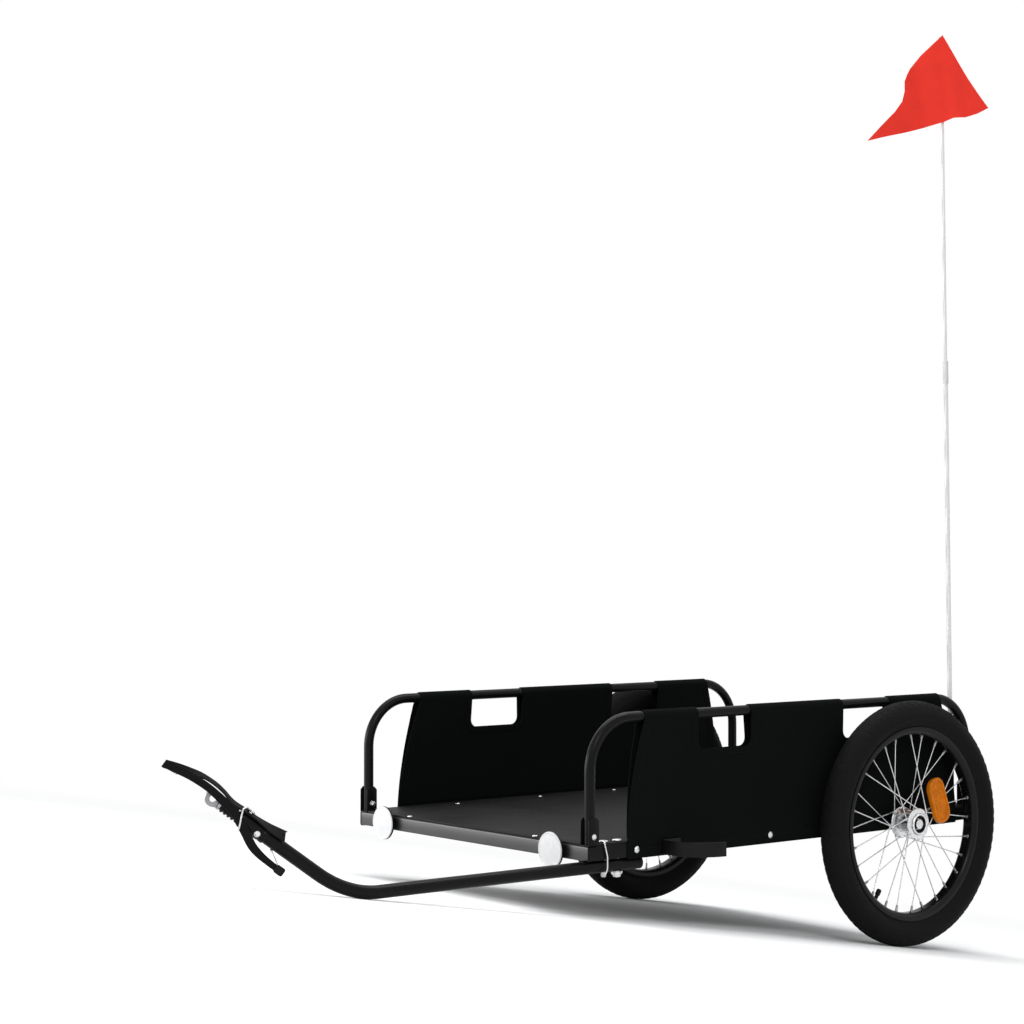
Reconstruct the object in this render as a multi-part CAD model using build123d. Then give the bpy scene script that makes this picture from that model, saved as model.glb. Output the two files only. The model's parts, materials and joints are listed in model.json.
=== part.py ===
from build123d import *
import math
import os

# A flat-bed cargo trailer for a bicycle: a square-tube base frame with a floor board, a bent tube
# hoop and a fabric panel on each side, two spoked wheels on stub axles, and a tow arm with a
# flexible coupler under the left rail.  It is parked empty, on both tyres and on the bend of the
# tow arm.
#
# Every piece is first laid out level, as when towed, in millimetres: +X runs rearward from the
# front rail's face, +Y to the trailer's right, +Z up from the road.  The last section tips the
# whole trailer about its axle line until the arm touches the ground, and moves the origin to the
# middle of its footprint.

# ---- wheels -------------------------------------------------------------------------------
WHEEL_DIAMETER = 400.0
TYRE_WIDTH = 47.0
BEAD_SEAT_DIAMETER = 305.0
AXLE_FROM_REAR = 194.0              # axle line, ahead of the rear rail's face
AXLE_DIAMETER = 12.0
RUNNING_CLEARANCE = 0.05            # radial, between hub and stub axle
END_PLAY = 0.5                      # axial gap each side of the hub
TYRE_SIDE_GAP = 5.2                 # tyre's inner face to the side panel
TYRE_CROWN_STEPS = 6                # flats that make up the round of the tread
RIM_FLANGE_HEIGHT = 5.5
RIM_WIDTH = 28.0
RIM_DEPTH = 7.5                     # from the bead seat in to the spoke bed
RIM_WALL = 2.0
RIM_SHOULDER = 5.0                  # slope of the bed, in from each flange
SPOKES_PER_SIDE = 14
SPOKE_DIAMETER = 1.8
SPOKE_SIDES = 6
SPOKE_CROSSINGS = 2
SPOKE_SEAT_GAP = 0.1
HUB_FLANGE_SPACING = 34.0
HUB_FLANGE_DIAMETER = 52.0
HUB_FLANGE_THICKNESS = 2.5
HUB_BARREL_DIAMETER = 30.0
HUB_JOURNAL_LENGTH = 4.0
HUB_CUP_DIAMETER = 36.0
HUB_CUP_DEPTH = 4.5
HUB_RECESS_DIAMETER = 28.0
HUB_RECESS_DEPTH = 6.0
SPOKE_HOLE_INSET = 2.5              # spoke circle, in from the flange's edge
AXLE_COLLAR_DIAMETER = 20.0
AXLE_BUTTON_DIAMETER = 16.0
AXLE_BUTTON_LENGTH = 5.0
AXLE_INSERTION = 55.0               # how far the stub axle reaches in from the rail's face
RECEIVER_WALL = 2.3
REFLECTOR_RADIUS = 59.0             # wheel reflector, centre to axle line
REFLECTOR_ANGLE = 36.5              # centre, above level and to the rear
REFLECTOR_LEAN = 17.0               # long way, turned forward of upright
REFLECTOR_LENGTH = 75.0
REFLECTOR_WIDTH = 42.0
REFLECTOR_THICKNESS = 8.0
REFLECTOR_CORNER = 18.0
REFLECTOR_SEAT_GAP = 0.4
VALVE_ANGLE = -126.0
VALVE_DIAMETER = 8.0
VALVE_LENGTH = 20.0

# ---- base frame ---------------------------------------------------------------------------
FRAME_LENGTH = 861.0
FRAME_WIDTH = 580.0
RAIL_SIZE = 22.0
RAIL_WALL = 1.5
RAIL_ABOVE_AXLE = 1.0               # rail centre line over the axle line
CROSS_MEMBER_X = 250.0
FLOOR_THICKNESS = 3.0
FLOOR_EDGE_INSET = 1.0
FLOOR_NOTCH_GAP = 1.0

# ---- hoops and their brackets ----------------------------------------------------------------
HOOP_DIAMETER = 16.0
HOOP_HEIGHT = 197.0                 # hoop centre line over the axle line
HOOP_BEND_RADIUS = 77.0
HOOP_END_INSET = 10.0               # leg centre line, in from the rail's end
BRACKET_WALL = 1.6
BRACKET_LENGTH = 20.0
BRACKET_HEIGHT = 42.0
BRACKET_CHAMFER = 5.0
BRACKET_FIT = 0.2                   # between leg and bracket cheeks

# ---- side panels -------------------------------------------------------------------------
FABRIC_THICKNESS = 1.2
FABRIC_FIT = 0.1                    # fabric to rail face
SLEEVE_FIT = 0.3                    # fabric loop to hoop
PANEL_TOP_FRONT = 114.0             # edges, in from the rail's front end ...
PANEL_BOTTOM_FRONT = 75.0
PANEL_TOP_REAR = 84.0               # ... and from its rear end
PANEL_BOTTOM_REAR = 46.0
PANEL_EDGE_BOW = 9.0                # front and rear edges, outward at mid height
PANEL_BELOW_RAIL = 2.0              # hem under the rail's lower face
HANDLE_FRONT = 226.0                # first opening, from the rail's front end
HANDLE_REAR = 202.0                 # second opening, from its rear end
HANDLE_LENGTH = 112.0
HANDLE_DEPTH = 55.0                 # below the hoop's centre line
HANDLE_CORNER_RADIUS = 14.0
PANEL_AXLE_HOLE_GAP = 1.0

# ---- deflectors ahead of the wheels --------------------------------------------------------
DEFLECTOR_X = 143.0                 # front face of the band
DEFLECTOR_RADIUS = 58.0
DEFLECTOR_STAND_OFF = 18.0          # straight part between panel and arc
DEFLECTOR_THICKNESS = 2.5
DEFLECTOR_FOOT = 36.0
DEFLECTOR_FIT = 0.3

# ---- tow arm -------------------------------------------------------------------------------
ARM_DIAMETER = 19.0
ARM_INSET = 11.0                    # arm centre line, in from the rail's outer face
ARM_GAP = 0.2                       # arm to rail
ARM_REAR_X = 108.0
ARM_CORNER_X = -417.0
ARM_BEND_RADIUS = 135.0
ARM_RISE = 90.4                     # tip above, ahead of and inboard of the bend's corner
ARM_REACH = 113.0
ARM_INWARD = 44.0
LOCK_PIN_X = 39.0
PIVOT_BOLT_X = 65.0
PIN_DIAMETER = 8.0
PIN_FIT = 0.1
PIN_HEAD_DIAMETER = 14.0
PIN_HEAD_HEIGHT = 3.0
PIN_TAIL = 7.0                      # pin below the arm
BAIL_WIRE = 2.5
BAIL_STAND_OFF = 2.5                # bail wire's centre line, off the face that it passes
WIRE_SIDES = 8
WING_NUT_SPAN = 22.0
WING_NUT_HEIGHT = 8.0

# ---- coupler at the arm's tip ----------------------------------------------------------------
SOCKET_DIAMETER = 22.0
SOCKET_LENGTH = 44.0
SOCKET_OVERLAP = 12.0               # socket over the arm's end
SOCKET_FIT = 0.1
SPIGOT_DIAMETER = 12.0
COUPLER_PIN_S = 24.0                # pin ahead of the arm's end
COUPLER_PIN_DIAMETER = 6.0
JOINT_DIAMETER = 18.0
JOINT_RIB_DEPTH = 2.0
JOINT_RIBS = 5
JOINT_LENGTH = 30.0
EYE_THICKNESS = 8.0
EYE_BORE_DIAMETER = 10.0
EYE_DIAMETER = 22.0
EYE_SHANK = 14.0
SEAT_GAP = 0.3

# ---- safety strap --------------------------------------------------------------------------
STRAP_WIDTH = 20.0                  # branch over the arm
STRAP_SIDE_WIDTH = 13.0             # branch down the arm's outer side
STRAP_THICKNESS = 2.0
STRAP_TAIL = 33.0                   # free end, behind the arm's tip
STRAP_TAIL_LIFT = 1.5
STRAP_REACH = 71.0                  # nose, ahead of the eye
STRAP_SEAM = 26.0                   # length over which the branches are sewn together
STRAP_ARCH = 7.0                    # rise of the upper branch over the eye
STRAP_SIDE_RISE = 5.0               # side branch over the arm's centre line, beside the eye
STRAP_BEND = 60.0
STRAP_HOOK_S = -47.0
STRAP_HOOK_DROP = 26.0
HOOK_LENGTH = 14.0
HOOK_WIDTH = 12.0
HOOK_THICKNESS = 6.0
RING_WIRE = 2.0
RING_CLIP_S = -29.0                 # where the ring's wire meets the arm
COUPLER_PIN_TAIL = 11.5             # pin below the socket

# ---- reflectors on the frame ------------------------------------------------------------------
LENS_DIAMETER = 54.0
LENS_THICKNESS = 2.5
LENS_DOME = 1.0
BACKING_DIAMETER = 53.0
BACKING_THICKNESS = 4.0
BACKING_STEM = 5.0
BACKING_STEM_DIAMETER = 24.0
FRAME_REFLECTOR_INSET = 76.0        # lens centre, in from the rail's outer face

# ---- flag ----------------------------------------------------------------------------------
FLAG_POLE_FROM_REAR = 26.0          # pole centre line, ahead of the rear rail's face
FLAG_POLE_INSET = 25.0              # pole centre line, in from the rail's outer face
FLAG_POLE_LEAN = 0.8                # degrees, forward
FLAG_SOCKET_HEIGHT = 90.0
FLAG_SOCKET_DIAMETER = 10.5
FLAG_SOCKET_FOOT = 16.0
FLAG_SOCKET_FOOT_HEIGHT = 3.0
FLAG_LOWER_DIAMETER = 8.0
FLAG_UPPER_DIAMETER = 6.0
FLAG_JOINT_HEIGHT = 735.0           # middle of the ferrule over the floor
FLAG_FERRULE_LENGTH = 38.0
FLAG_FERRULE_DIAMETER = 9.6
FLAG_TOP_HEIGHT = 1307.0            # pole's tip over the floor
FLAG_HEIGHT = 147.0
FLAG_FORWARD = 128.0
FLAG_REARWARD = 78.0
FLAG_TIP_DROP = 32.0
FLAG_THICKNESS = 1.6
FLAG_HEADING = -38.7                # flag plane, turned about the pole
FLAG_FIT = 0.2

# ---- worked out from the above ----------------------------------------------------------------
AXLE_X = FRAME_LENGTH - AXLE_FROM_REAR
AXLE_Z = WHEEL_DIAMETER / 2
RAIL_Z = AXLE_Z + RAIL_ABOVE_AXLE
RAIL_TOP = RAIL_Z + RAIL_SIZE / 2
RAIL_BOTTOM = RAIL_Z - RAIL_SIZE / 2
FLOOR_TOP = RAIL_TOP + FLOOR_THICKNESS
RAIL_FACE = FRAME_WIDTH / 2
PANEL_INNER = RAIL_FACE + FABRIC_FIT
PANEL_OUTER = PANEL_INNER + FABRIC_THICKNESS
SLEEVE_BORE = HOOP_DIAMETER / 2 + SLEEVE_FIT
SLEEVE_RADIUS = SLEEVE_BORE + FABRIC_THICKNESS
HOOP_Y = PANEL_OUTER - SLEEVE_RADIUS
HOOP_Z = AXLE_Z + HOOP_HEIGHT
WHEEL_Y = PANEL_OUTER + TYRE_SIDE_GAP + TYRE_WIDTH / 2
ARM_Y = RAIL_FACE - ARM_INSET
ARM_Z = RAIL_BOTTOM - ARM_GAP - ARM_DIAMETER / 2
ARM_BOTTOM = ARM_Z - ARM_DIAMETER / 2
LEFT, RIGHT = -1, 1


def rod(start, end, diameter):
    """A round bar from one point to another."""
    start, end = Vector(*start), Vector(*end)
    run = end - start
    bar = Cylinder(diameter / 2, run.length, align=(Align.CENTER, Align.CENTER, Align.MIN))
    return Plane(origin=start, z_dir=run).location * bar


def bent_bar(points, radius, section):
    """A bar or tube of the given section along straight runs joined by arcs."""
    path = FilletPolyline(*points, radius=radius)
    return sweep(Plane(origin=path @ 0, z_dir=path % 0) * section, path=path)


def bail(points):
    """A pin's wire loop."""
    return bent_bar(points, 2 * BAIL_WIRE, RegularPolygon(BAIL_WIRE / 2, WIRE_SIDES))


def one(shape):
    """The single solid of a boolean's result."""
    solids = shape.solids()
    return solids[0] if len(solids) == 1 else Compound(children=solids)


# ---- base frame ---------------------------------------------------------------------------
def mitred_rail(run):
    """A square tube along X with both ends cut at 45 degrees; its longer face lies on Y = 0."""
    def slab(inset, height):
        half, far = run / 2 - inset, RAIL_SIZE - inset
        corners = [(-half, inset), (half, inset), (run / 2 - far, far), (far - run / 2, far)]
        face = make_face(Polyline(*corners, close=True))
        return Pos(0, 0, -height / 2) * extrude(face, height)
    return slab(0, RAIL_SIZE) - slab(RAIL_WALL, RAIL_SIZE - 2 * RAIL_WALL)


def side_rail(side):
    """A long rail, with the welded receiver that takes the stub axle."""
    turn = 0 if side == LEFT else 180
    rail = Pos(FRAME_LENGTH / 2, side * RAIL_FACE, RAIL_Z) * Rot(0, 0, turn) * mitred_rail(FRAME_LENGTH)
    bore = AXLE_DIAMETER / 2 + RUNNING_CLEARANCE
    receiver = Cylinder(bore + RECEIVER_WALL, AXLE_INSERTION, rotation=(90, 0, 0))
    tunnel = Cylinder(bore, 3 * AXLE_INSERTION, rotation=(90, 0, 0))
    middle = Pos(AXLE_X, side * (RAIL_FACE - AXLE_INSERTION / 2), AXLE_Z)
    rail = rail + middle * receiver - middle * tunnel
    if side == LEFT:
        for x in (LOCK_PIN_X, PIVOT_BOLT_X):
            rail = rail - Pos(x, -ARM_Y, RAIL_Z) * Cylinder(PIN_DIAMETER / 2 + PIN_FIT, 2 * RAIL_SIZE)
    return one(rail)


def end_rail(x, turn):
    return Pos(x, 0, RAIL_Z) * Rot(0, 0, turn) * mitred_rail(FRAME_WIDTH)


def cross_tube(x):
    """A square tube between the side rails."""
    span = FRAME_WIDTH - 2 * RAIL_SIZE
    inside = RAIL_SIZE - 2 * RAIL_WALL
    return Pos(x, 0, RAIL_Z) * (Box(RAIL_SIZE, span, RAIL_SIZE) - Box(inside, span, inside))


def floor_board():
    """The board on the rails, notched round the four hoop brackets."""
    length = FRAME_LENGTH - 2 * FLOOR_EDGE_INSET
    width = FRAME_WIDTH - 2 * FLOOR_EDGE_INSET
    board = Pos(FRAME_LENGTH / 2, 0, RAIL_TOP + FLOOR_THICKNESS / 2) * Box(length, width, FLOOR_THICKNESS)
    notch_x = 2 * (HOOP_END_INSET + BRACKET_LENGTH / 2 + FLOOR_NOTCH_GAP)
    notch_y = 2 * (RAIL_FACE - HOOP_Y + bracket_half_width() + FLOOR_NOTCH_GAP)
    for x in (0, FRAME_LENGTH):
        for side in (LEFT, RIGHT):
            board -= Pos(x, side * RAIL_FACE, RAIL_TOP) * Box(notch_x, notch_y, 3 * FLOOR_THICKNESS)
    for x in (LOCK_PIN_X, PIVOT_BOLT_X):
        board -= Pos(x, -ARM_Y, RAIL_TOP) * Cylinder(PIN_DIAMETER / 2 + PIN_FIT, 3 * FLOOR_THICKNESS)
    return one(board)


# ---- hoops ---------------------------------------------------------------------------------
def bracket_half_width():
    return HOOP_DIAMETER / 2 + BRACKET_FIT + BRACKET_WALL


def hoop_leg_x(end):
    return HOOP_END_INSET if end == "front" else FRAME_LENGTH - HOOP_END_INSET


def hoop(side):
    """The bent tube of one side, standing in its two brackets, its closed bore left out."""
    foot = RAIL_TOP + BRACKET_WALL
    front, rear, y = hoop_leg_x("front"), hoop_leg_x("rear"), side * HOOP_Y
    points = [(front, y, foot), (front, y, HOOP_Z), (rear, y, HOOP_Z), (rear, y, foot)]
    return bent_bar(points, HOOP_BEND_RADIUS, Circle(HOOP_DIAMETER / 2))


def bracket(end, side):
    """A folded channel on the rail, whose two cheeks hold the hoop's foot."""
    width = 2 * bracket_half_width()
    standing = (Align.CENTER, Align.CENTER, Align.MIN)
    channel = Box(BRACKET_LENGTH, width, BRACKET_HEIGHT, align=standing)
    slot = Box(BRACKET_LENGTH, width - 2 * BRACKET_WALL, BRACKET_HEIGHT, align=standing)
    channel -= Pos(0, 0, BRACKET_WALL) * slot
    tops = channel.edges().filter_by(Axis.Y).group_by(Axis.Z)[-1]
    channel = chamfer(tops, BRACKET_CHAMFER)
    return Pos(hoop_leg_x(end), side * HOOP_Y, RAIL_TOP) * one(channel)


# ---- side panels -------------------------------------------------------------------------
def handle_middles():
    return HANDLE_FRONT + HANDLE_LENGTH / 2, FRAME_LENGTH - HANDLE_REAR - HANDLE_LENGTH / 2


def side_panel(side):
    """The fabric of one side: a sheet over the rail with three loops round the hoop."""
    bottom = RAIL_BOTTOM - PANEL_BELOW_RAIL
    half_way = (bottom + HOOP_Z) / 2
    top_front, top_rear = PANEL_TOP_FRONT, FRAME_LENGTH - PANEL_TOP_REAR
    low_front, low_rear = PANEL_BOTTOM_FRONT, FRAME_LENGTH - PANEL_BOTTOM_REAR
    front_bow = (low_front + top_front) / 2 - PANEL_EDGE_BOW
    rear_bow = (low_rear + top_rear) / 2 + PANEL_EDGE_BOW
    outline = [
        Line((low_front, bottom), (low_rear, bottom)),
        ThreePointArc((low_rear, bottom), (rear_bow, half_way), (top_rear, HOOP_Z)),
        Line((top_rear, HOOP_Z), (top_front, HOOP_Z)),
        ThreePointArc((top_front, HOOP_Z), (front_bow, half_way), (low_front, bottom)),
    ]
    plane = Plane(origin=(0, side * PANEL_INNER, 0), x_dir=(1, 0, 0), z_dir=(0, -1, 0))
    sheet = extrude(plane * make_face(outline), -side * FABRIC_THICKNESS)
    loop = Circle(SLEEVE_RADIUS) - Circle(SLEEVE_BORE)
    along_hoop = Plane(origin=(top_front, side * HOOP_Y, HOOP_Z), z_dir=(1, 0, 0))
    panel = sheet + extrude(along_hoop * loop, top_rear - top_front)
    for middle in handle_middles():
        hole = Box(HANDLE_LENGTH, 8 * SLEEVE_RADIUS, 2 * HANDLE_DEPTH)
        hole = fillet(hole.edges().filter_by(Axis.Y), HANDLE_CORNER_RADIUS)
        panel -= Pos(middle, side * PANEL_OUTER, HOOP_Z) * hole
    hole = Cylinder(AXLE_DIAMETER / 2 + PANEL_AXLE_HOLE_GAP, 8 * FABRIC_THICKNESS, rotation=(90, 0, 0))
    return one(panel - Pos(AXLE_X, side * PANEL_OUTER, AXLE_Z) * hole)


def deflector(side):
    """A strip folded out from the rail and rounded back, ahead of the wheel."""
    face = PANEL_OUTER + DEFLECTOR_FIT + DEFLECTOR_THICKNESS / 2
    front = DEFLECTOR_X + DEFLECTOR_THICKNESS / 2
    arc_start = face + DEFLECTOR_STAND_OFF
    line = Polyline((front + DEFLECTOR_FOOT, face), (front, face), (front, arc_start))
    arc_end = (front + DEFLECTOR_RADIUS, arc_start + DEFLECTOR_RADIUS)
    arc = RadiusArc((front, arc_start), arc_end, DEFLECTOR_RADIUS)
    strip = offset(line + arc, DEFLECTOR_THICKNESS / 2, side=Side.BOTH)
    band = extrude(make_face(strip.edges()), RAIL_SIZE)
    band = Pos(0, 0, RAIL_BOTTOM) * band
    return one(band if side == RIGHT else mirror(band, about=Plane.XZ))


# ---- wheels: each is drawn about its own axle line, outboard towards +Y ------------------------
def tyre():
    """A round tyre whose beads sit between the rim's flanges, its closed inside left out."""
    half = TYRE_WIDTH / 2
    widest = WHEEL_DIAMETER / 2 - half
    bead = BEAD_SEAT_DIAMETER / 2
    bead_half = RIM_WIDTH / 2 - RIM_WALL
    flange = bead + RIM_FLANGE_HEIGHT
    points = [(flange, -bead_half)]
    for i in range(TYRE_CROWN_STEPS + 1):
        angle = math.radians(180 * i / TYRE_CROWN_STEPS - 90)
        points.append((widest + half * math.cos(angle), half * math.sin(angle)))
    points += [(flange, bead_half), (bead, bead_half), (bead, -bead_half)]
    return one(revolve(make_face(Polyline(*points, close=True)), Axis.Y))


def rim():
    """A channel rim with a raised flange each side and a closed bed for the spokes."""
    seat = BEAD_SEAT_DIAMETER / 2
    top, bed = seat + RIM_FLANGE_HEIGHT, seat - RIM_DEPTH
    half, wall = RIM_WIDTH / 2, RIM_WALL
    shoulder, well = half - RIM_SHOULDER, seat - SEAT_GAP
    points = [
        (top, half), (seat - wall, half), (bed, shoulder), (bed, -shoulder), (seat - wall, -half),
        (top, -half), (top, wall - half), (well, wall - half), (well, half - wall), (top, half - wall),
    ]
    return one(revolve(make_face(Polyline(*points, close=True)), Axis.Y))


def hub():
    """A turned hub: two flanges on a barrel, an inner journal and an outer cup."""
    bore = AXLE_DIAMETER / 2 + RUNNING_CLEARANCE
    flange, barrel = HUB_FLANGE_DIAMETER / 2, HUB_BARREL_DIAMETER / 2
    inner_face = HUB_FLANGE_SPACING / 2 - HUB_FLANGE_THICKNESS / 2
    outer_face = HUB_FLANGE_SPACING / 2 + HUB_FLANGE_THICKNESS / 2
    journal = AXLE_COLLAR_DIAMETER / 2
    cup, recess = HUB_CUP_DIAMETER / 2, HUB_RECESS_DIAMETER / 2
    lip = outer_face + HUB_CUP_DEPTH
    floor = lip - HUB_RECESS_DEPTH
    end = hub_inner_end()
    points = [
        (bore, -end), (journal, -end), (journal, -outer_face), (flange, -outer_face),
        (flange, -inner_face), (barrel, -inner_face), (barrel, inner_face), (flange, inner_face),
        (flange, outer_face), (cup, outer_face), (cup, lip), (recess, lip), (recess, floor), (bore, floor),
    ]
    return one(revolve(make_face(Polyline(*points, close=True)), Axis.Y))


def hub_inner_end():
    """Distance from the wheel's middle plane in to the hub's inner face."""
    return HUB_FLANGE_SPACING / 2 + HUB_FLANGE_THICKNESS / 2 + HUB_JOURNAL_LENGTH


def hub_recess_floor():
    return HUB_FLANGE_SPACING / 2 + HUB_FLANGE_THICKNESS / 2 + HUB_CUP_DEPTH - HUB_RECESS_DEPTH


def polar(radius, degrees, y):
    return (radius * math.cos(math.radians(degrees)), y, radius * math.sin(math.radians(degrees)))


def spoke_places():
    """Hub circle, rim circle and distance from a flange's middle to a spoke beside it."""
    hub_radius = HUB_FLANGE_DIAMETER / 2 - SPOKE_HOLE_INSET
    rim_radius = BEAD_SEAT_DIAMETER / 2 - RIM_DEPTH - SEAT_GAP
    return hub_radius, rim_radius, HUB_FLANGE_THICKNESS / 2 + SPOKE_DIAMETER / 2 + SPOKE_SEAT_GAP


def spoke(points):
    """A six-sided bar through the points, mitred where it turns."""
    path = Polyline(*points)
    section = Plane(origin=path @ 0, z_dir=path % 0) * RegularPolygon(SPOKE_DIAMETER / 2, SPOKE_SIDES)
    return sweep(section, path=path, transition=Transition.RIGHT)


def spokes():
    """Crossed spokes from both flanges, alternately from the outer and inner face of each."""
    pitch = 360 / SPOKES_PER_SIDE
    hub_radius, rim_radius, beside = spoke_places()
    bars = []
    for flange in (-1, 1):
        for i in range(SPOKES_PER_SIDE):
            lean = 1 if i % 2 else -1
            start = pitch * (i + (0.5 if flange > 0 else 0))
            end = start + lean * SPOKE_CROSSINGS * pitch
            face = flange * (HUB_FLANGE_SPACING / 2 + lean * beside)
            hub_end = Vector(*polar(hub_radius, start, face))
            rim_end = Vector(*polar(rim_radius, end, flange * SPOKE_DIAMETER))
            if lean < 0:
                bars.append(spoke((hub_end, rim_end)))
                continue
            level_end = Vector(rim_end.X, face, rim_end.Z)
            along = (level_end - hub_end).normalized()
            inward = -along.dot(Vector(hub_end.X, 0, hub_end.Z))
            clear = HUB_FLANGE_DIAMETER / 2 + SPOKE_DIAMETER
            nearest = hub_radius ** 2 - inward ** 2
            leave = hub_end + along * (inward + math.sqrt(clear ** 2 - nearest))
            bars.append(spoke((hub_end, leave, rim_end)))
    return Compound(children=bars)


def wheel_reflector():
    """A rounded lens clipped flat against the outer spokes, which slope in to the rim."""
    hub_radius, rim_radius, beside = spoke_places()
    at_hub = HUB_FLANGE_SPACING / 2 + beside
    slope = math.atan2(at_hub - SPOKE_DIAMETER, rim_radius - hub_radius)
    under = at_hub - (REFLECTOR_RADIUS - hub_radius) * math.tan(slope)
    seat = under + SPOKE_DIAMETER / 2 + REFLECTOR_SEAT_GAP
    out_x, _, out_z = polar(math.sin(slope), REFLECTOR_ANGLE, 0)
    face = Plane(
        origin=polar(REFLECTOR_RADIUS, REFLECTOR_ANGLE, seat),
        x_dir=polar(1, 90 + REFLECTOR_LEAN, 0),
        z_dir=(out_x, math.cos(slope), out_z),
    )
    lens = RectangleRounded(REFLECTOR_LENGTH, REFLECTOR_WIDTH, REFLECTOR_CORNER)
    return face.location * extrude(lens, REFLECTOR_THICKNESS)


def valve():
    """The tube's valve, standing in from the rim's bed."""
    seat = BEAD_SEAT_DIAMETER / 2 - RIM_DEPTH - SEAT_GAP
    return rod(polar(seat, VALVE_ANGLE, 0), polar(seat - VALVE_LENGTH, VALVE_ANGLE, 0), VALVE_DIAMETER)


def stub_axle():
    """Shaft, collar against the panel and the button in the hub's recess."""
    inner = PANEL_OUTER + SEAT_GAP - WHEEL_Y
    collar_end = -hub_inner_end() - END_PLAY
    button = hub_recess_floor() + END_PLAY
    root = RAIL_FACE - AXLE_INSERTION - WHEEL_Y

    def bar(start, end, diameter):
        return rod((0, start, 0), (0, end, 0), diameter)
    shaft = bar(root, button, AXLE_DIAMETER)
    collar = bar(inner, collar_end, AXLE_COLLAR_DIAMETER)
    return one(shaft + collar + bar(button, button + AXLE_BUTTON_LENGTH, AXLE_BUTTON_DIAMETER))


def at_wheel(shape, side):
    """Places a wheel piece on its side of the trailer, mirrored on the left."""
    if side == LEFT:
        shape = mirror(shape, about=Plane.XZ)
    return Pos(AXLE_X, side * WHEEL_Y, AXLE_Z) * shape


# ---- tow arm -------------------------------------------------------------------------------
def arm_points():
    corner = Vector(ARM_CORNER_X, -ARM_Y, ARM_Z)
    tip = corner + Vector(-ARM_REACH, ARM_INWARD, ARM_RISE)
    return Vector(ARM_REAR_X, -ARM_Y, ARM_Z), corner, tip


def tow_arm():
    """The bent tube under the left rail, plugged at both ends, its closed bore left out."""
    arm = bent_bar(arm_points(), ARM_BEND_RADIUS, Circle(ARM_DIAMETER / 2))
    for x in (LOCK_PIN_X, PIVOT_BOLT_X):
        arm -= Pos(x, -ARM_Y, ARM_Z) * Cylinder(PIN_DIAMETER / 2 + PIN_FIT, 2 * ARM_DIAMETER)
    return one(arm - tip_frame().location * coupler_pin_hole())


def at_arm(x, z):
    """A point on the line of a pin through floor, rail and arm."""
    return Vector(x, -ARM_Y, z)


def headed_pin(x, end):
    """A pin down through floor, rail and arm, with its flat head on the floor."""
    seat = at_arm(x, FLOOR_TOP + SEAT_GAP)
    shank = rod(at_arm(x, end), seat, PIN_DIAMETER)
    return shank + rod(seat, at_arm(x, FLOOR_TOP + PIN_HEAD_HEIGHT), PIN_HEAD_DIAMETER)


def lock_pin():
    """The pin that stops the arm from swinging, with its wire bail round rail and arm."""
    end = ARM_BOTTOM - PIN_TAIL
    upper, lower = FLOOR_TOP + PIN_HEAD_HEIGHT - BAIL_WIRE / 2, end + BAIL_WIRE
    outside = Vector(0, ARM_Y - RAIL_FACE - BAIL_STAND_OFF, 0)
    top, bottom = at_arm(LOCK_PIN_X, upper), at_arm(LOCK_PIN_X, lower)
    return one(headed_pin(LOCK_PIN_X, end) + bail((top, top + outside, bottom + outside, bottom)))


def pivot_bolt():
    """The bolt that the arm swings on, held by a wing nut below."""
    top = ARM_BOTTOM - SEAT_GAP
    end = top - WING_NUT_HEIGHT
    boss = rod(at_arm(PIVOT_BOLT_X, end), at_arm(PIVOT_BOLT_X, top), PIN_HEAD_DIAMETER)
    wings = Pos(PIVOT_BOLT_X, -ARM_Y, end) * Box(WING_NUT_SPAN, BAIL_WIRE, WING_NUT_HEIGHT)
    return one(headed_pin(PIVOT_BOLT_X, end) + boss + wings)


# ---- coupler: drawn along +X from the arm's end, +Z away from the arm's belly -------------------
def tip_frame():
    _, corner, tip = arm_points()
    along = (tip - corner).normalized()
    across = Vector(0, 0, 1).cross(along).normalized()
    return Plane(origin=tip, x_dir=along, z_dir=along.cross(across))


def along_tip(start, end, diameter):
    return rod((start, 0, 0), (end, 0, 0), diameter)


def coupler_pin_hole():
    return Pos(COUPLER_PIN_S, 0, 0) * Cylinder(COUPLER_PIN_DIAMETER / 2 + PIN_FIT, 6 * SOCKET_DIAMETER)


def coupler_socket():
    """The sleeve on the arm's end that takes the flexible joint's spigot."""
    start, end = -SOCKET_OVERLAP, SOCKET_LENGTH - SOCKET_OVERLAP
    body = along_tip(start, end, SOCKET_DIAMETER)
    body -= along_tip(start, 0, ARM_DIAMETER + 2 * SOCKET_FIT)
    body -= along_tip(SOCKET_FIT, end, SPIGOT_DIAMETER + 2 * SOCKET_FIT)
    return one(body - coupler_pin_hole())


def joint_start():
    return SOCKET_LENGTH - SOCKET_OVERLAP + SEAT_GAP


def coupler_joint():
    """The flexible joint: a ribbed rubber body on a spigot."""
    start = joint_start()
    body = along_tip(SEAT_GAP, start, SPIGOT_DIAMETER)
    body += along_tip(start, start + JOINT_LENGTH, JOINT_DIAMETER)
    pitch = JOINT_LENGTH / JOINT_RIBS
    for i in range(JOINT_RIBS - 1):
        middle = start + pitch * (i + 1)
        groove = along_tip(middle - pitch / 4, middle + pitch / 4, JOINT_DIAMETER)
        groove -= along_tip(middle - pitch / 4, middle + pitch / 4, JOINT_DIAMETER - 2 * JOINT_RIB_DEPTH)
        body -= groove
    return one(body - coupler_pin_hole())


def eye_centre():
    return joint_start() + JOINT_LENGTH + SEAT_GAP + EYE_SHANK


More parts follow.
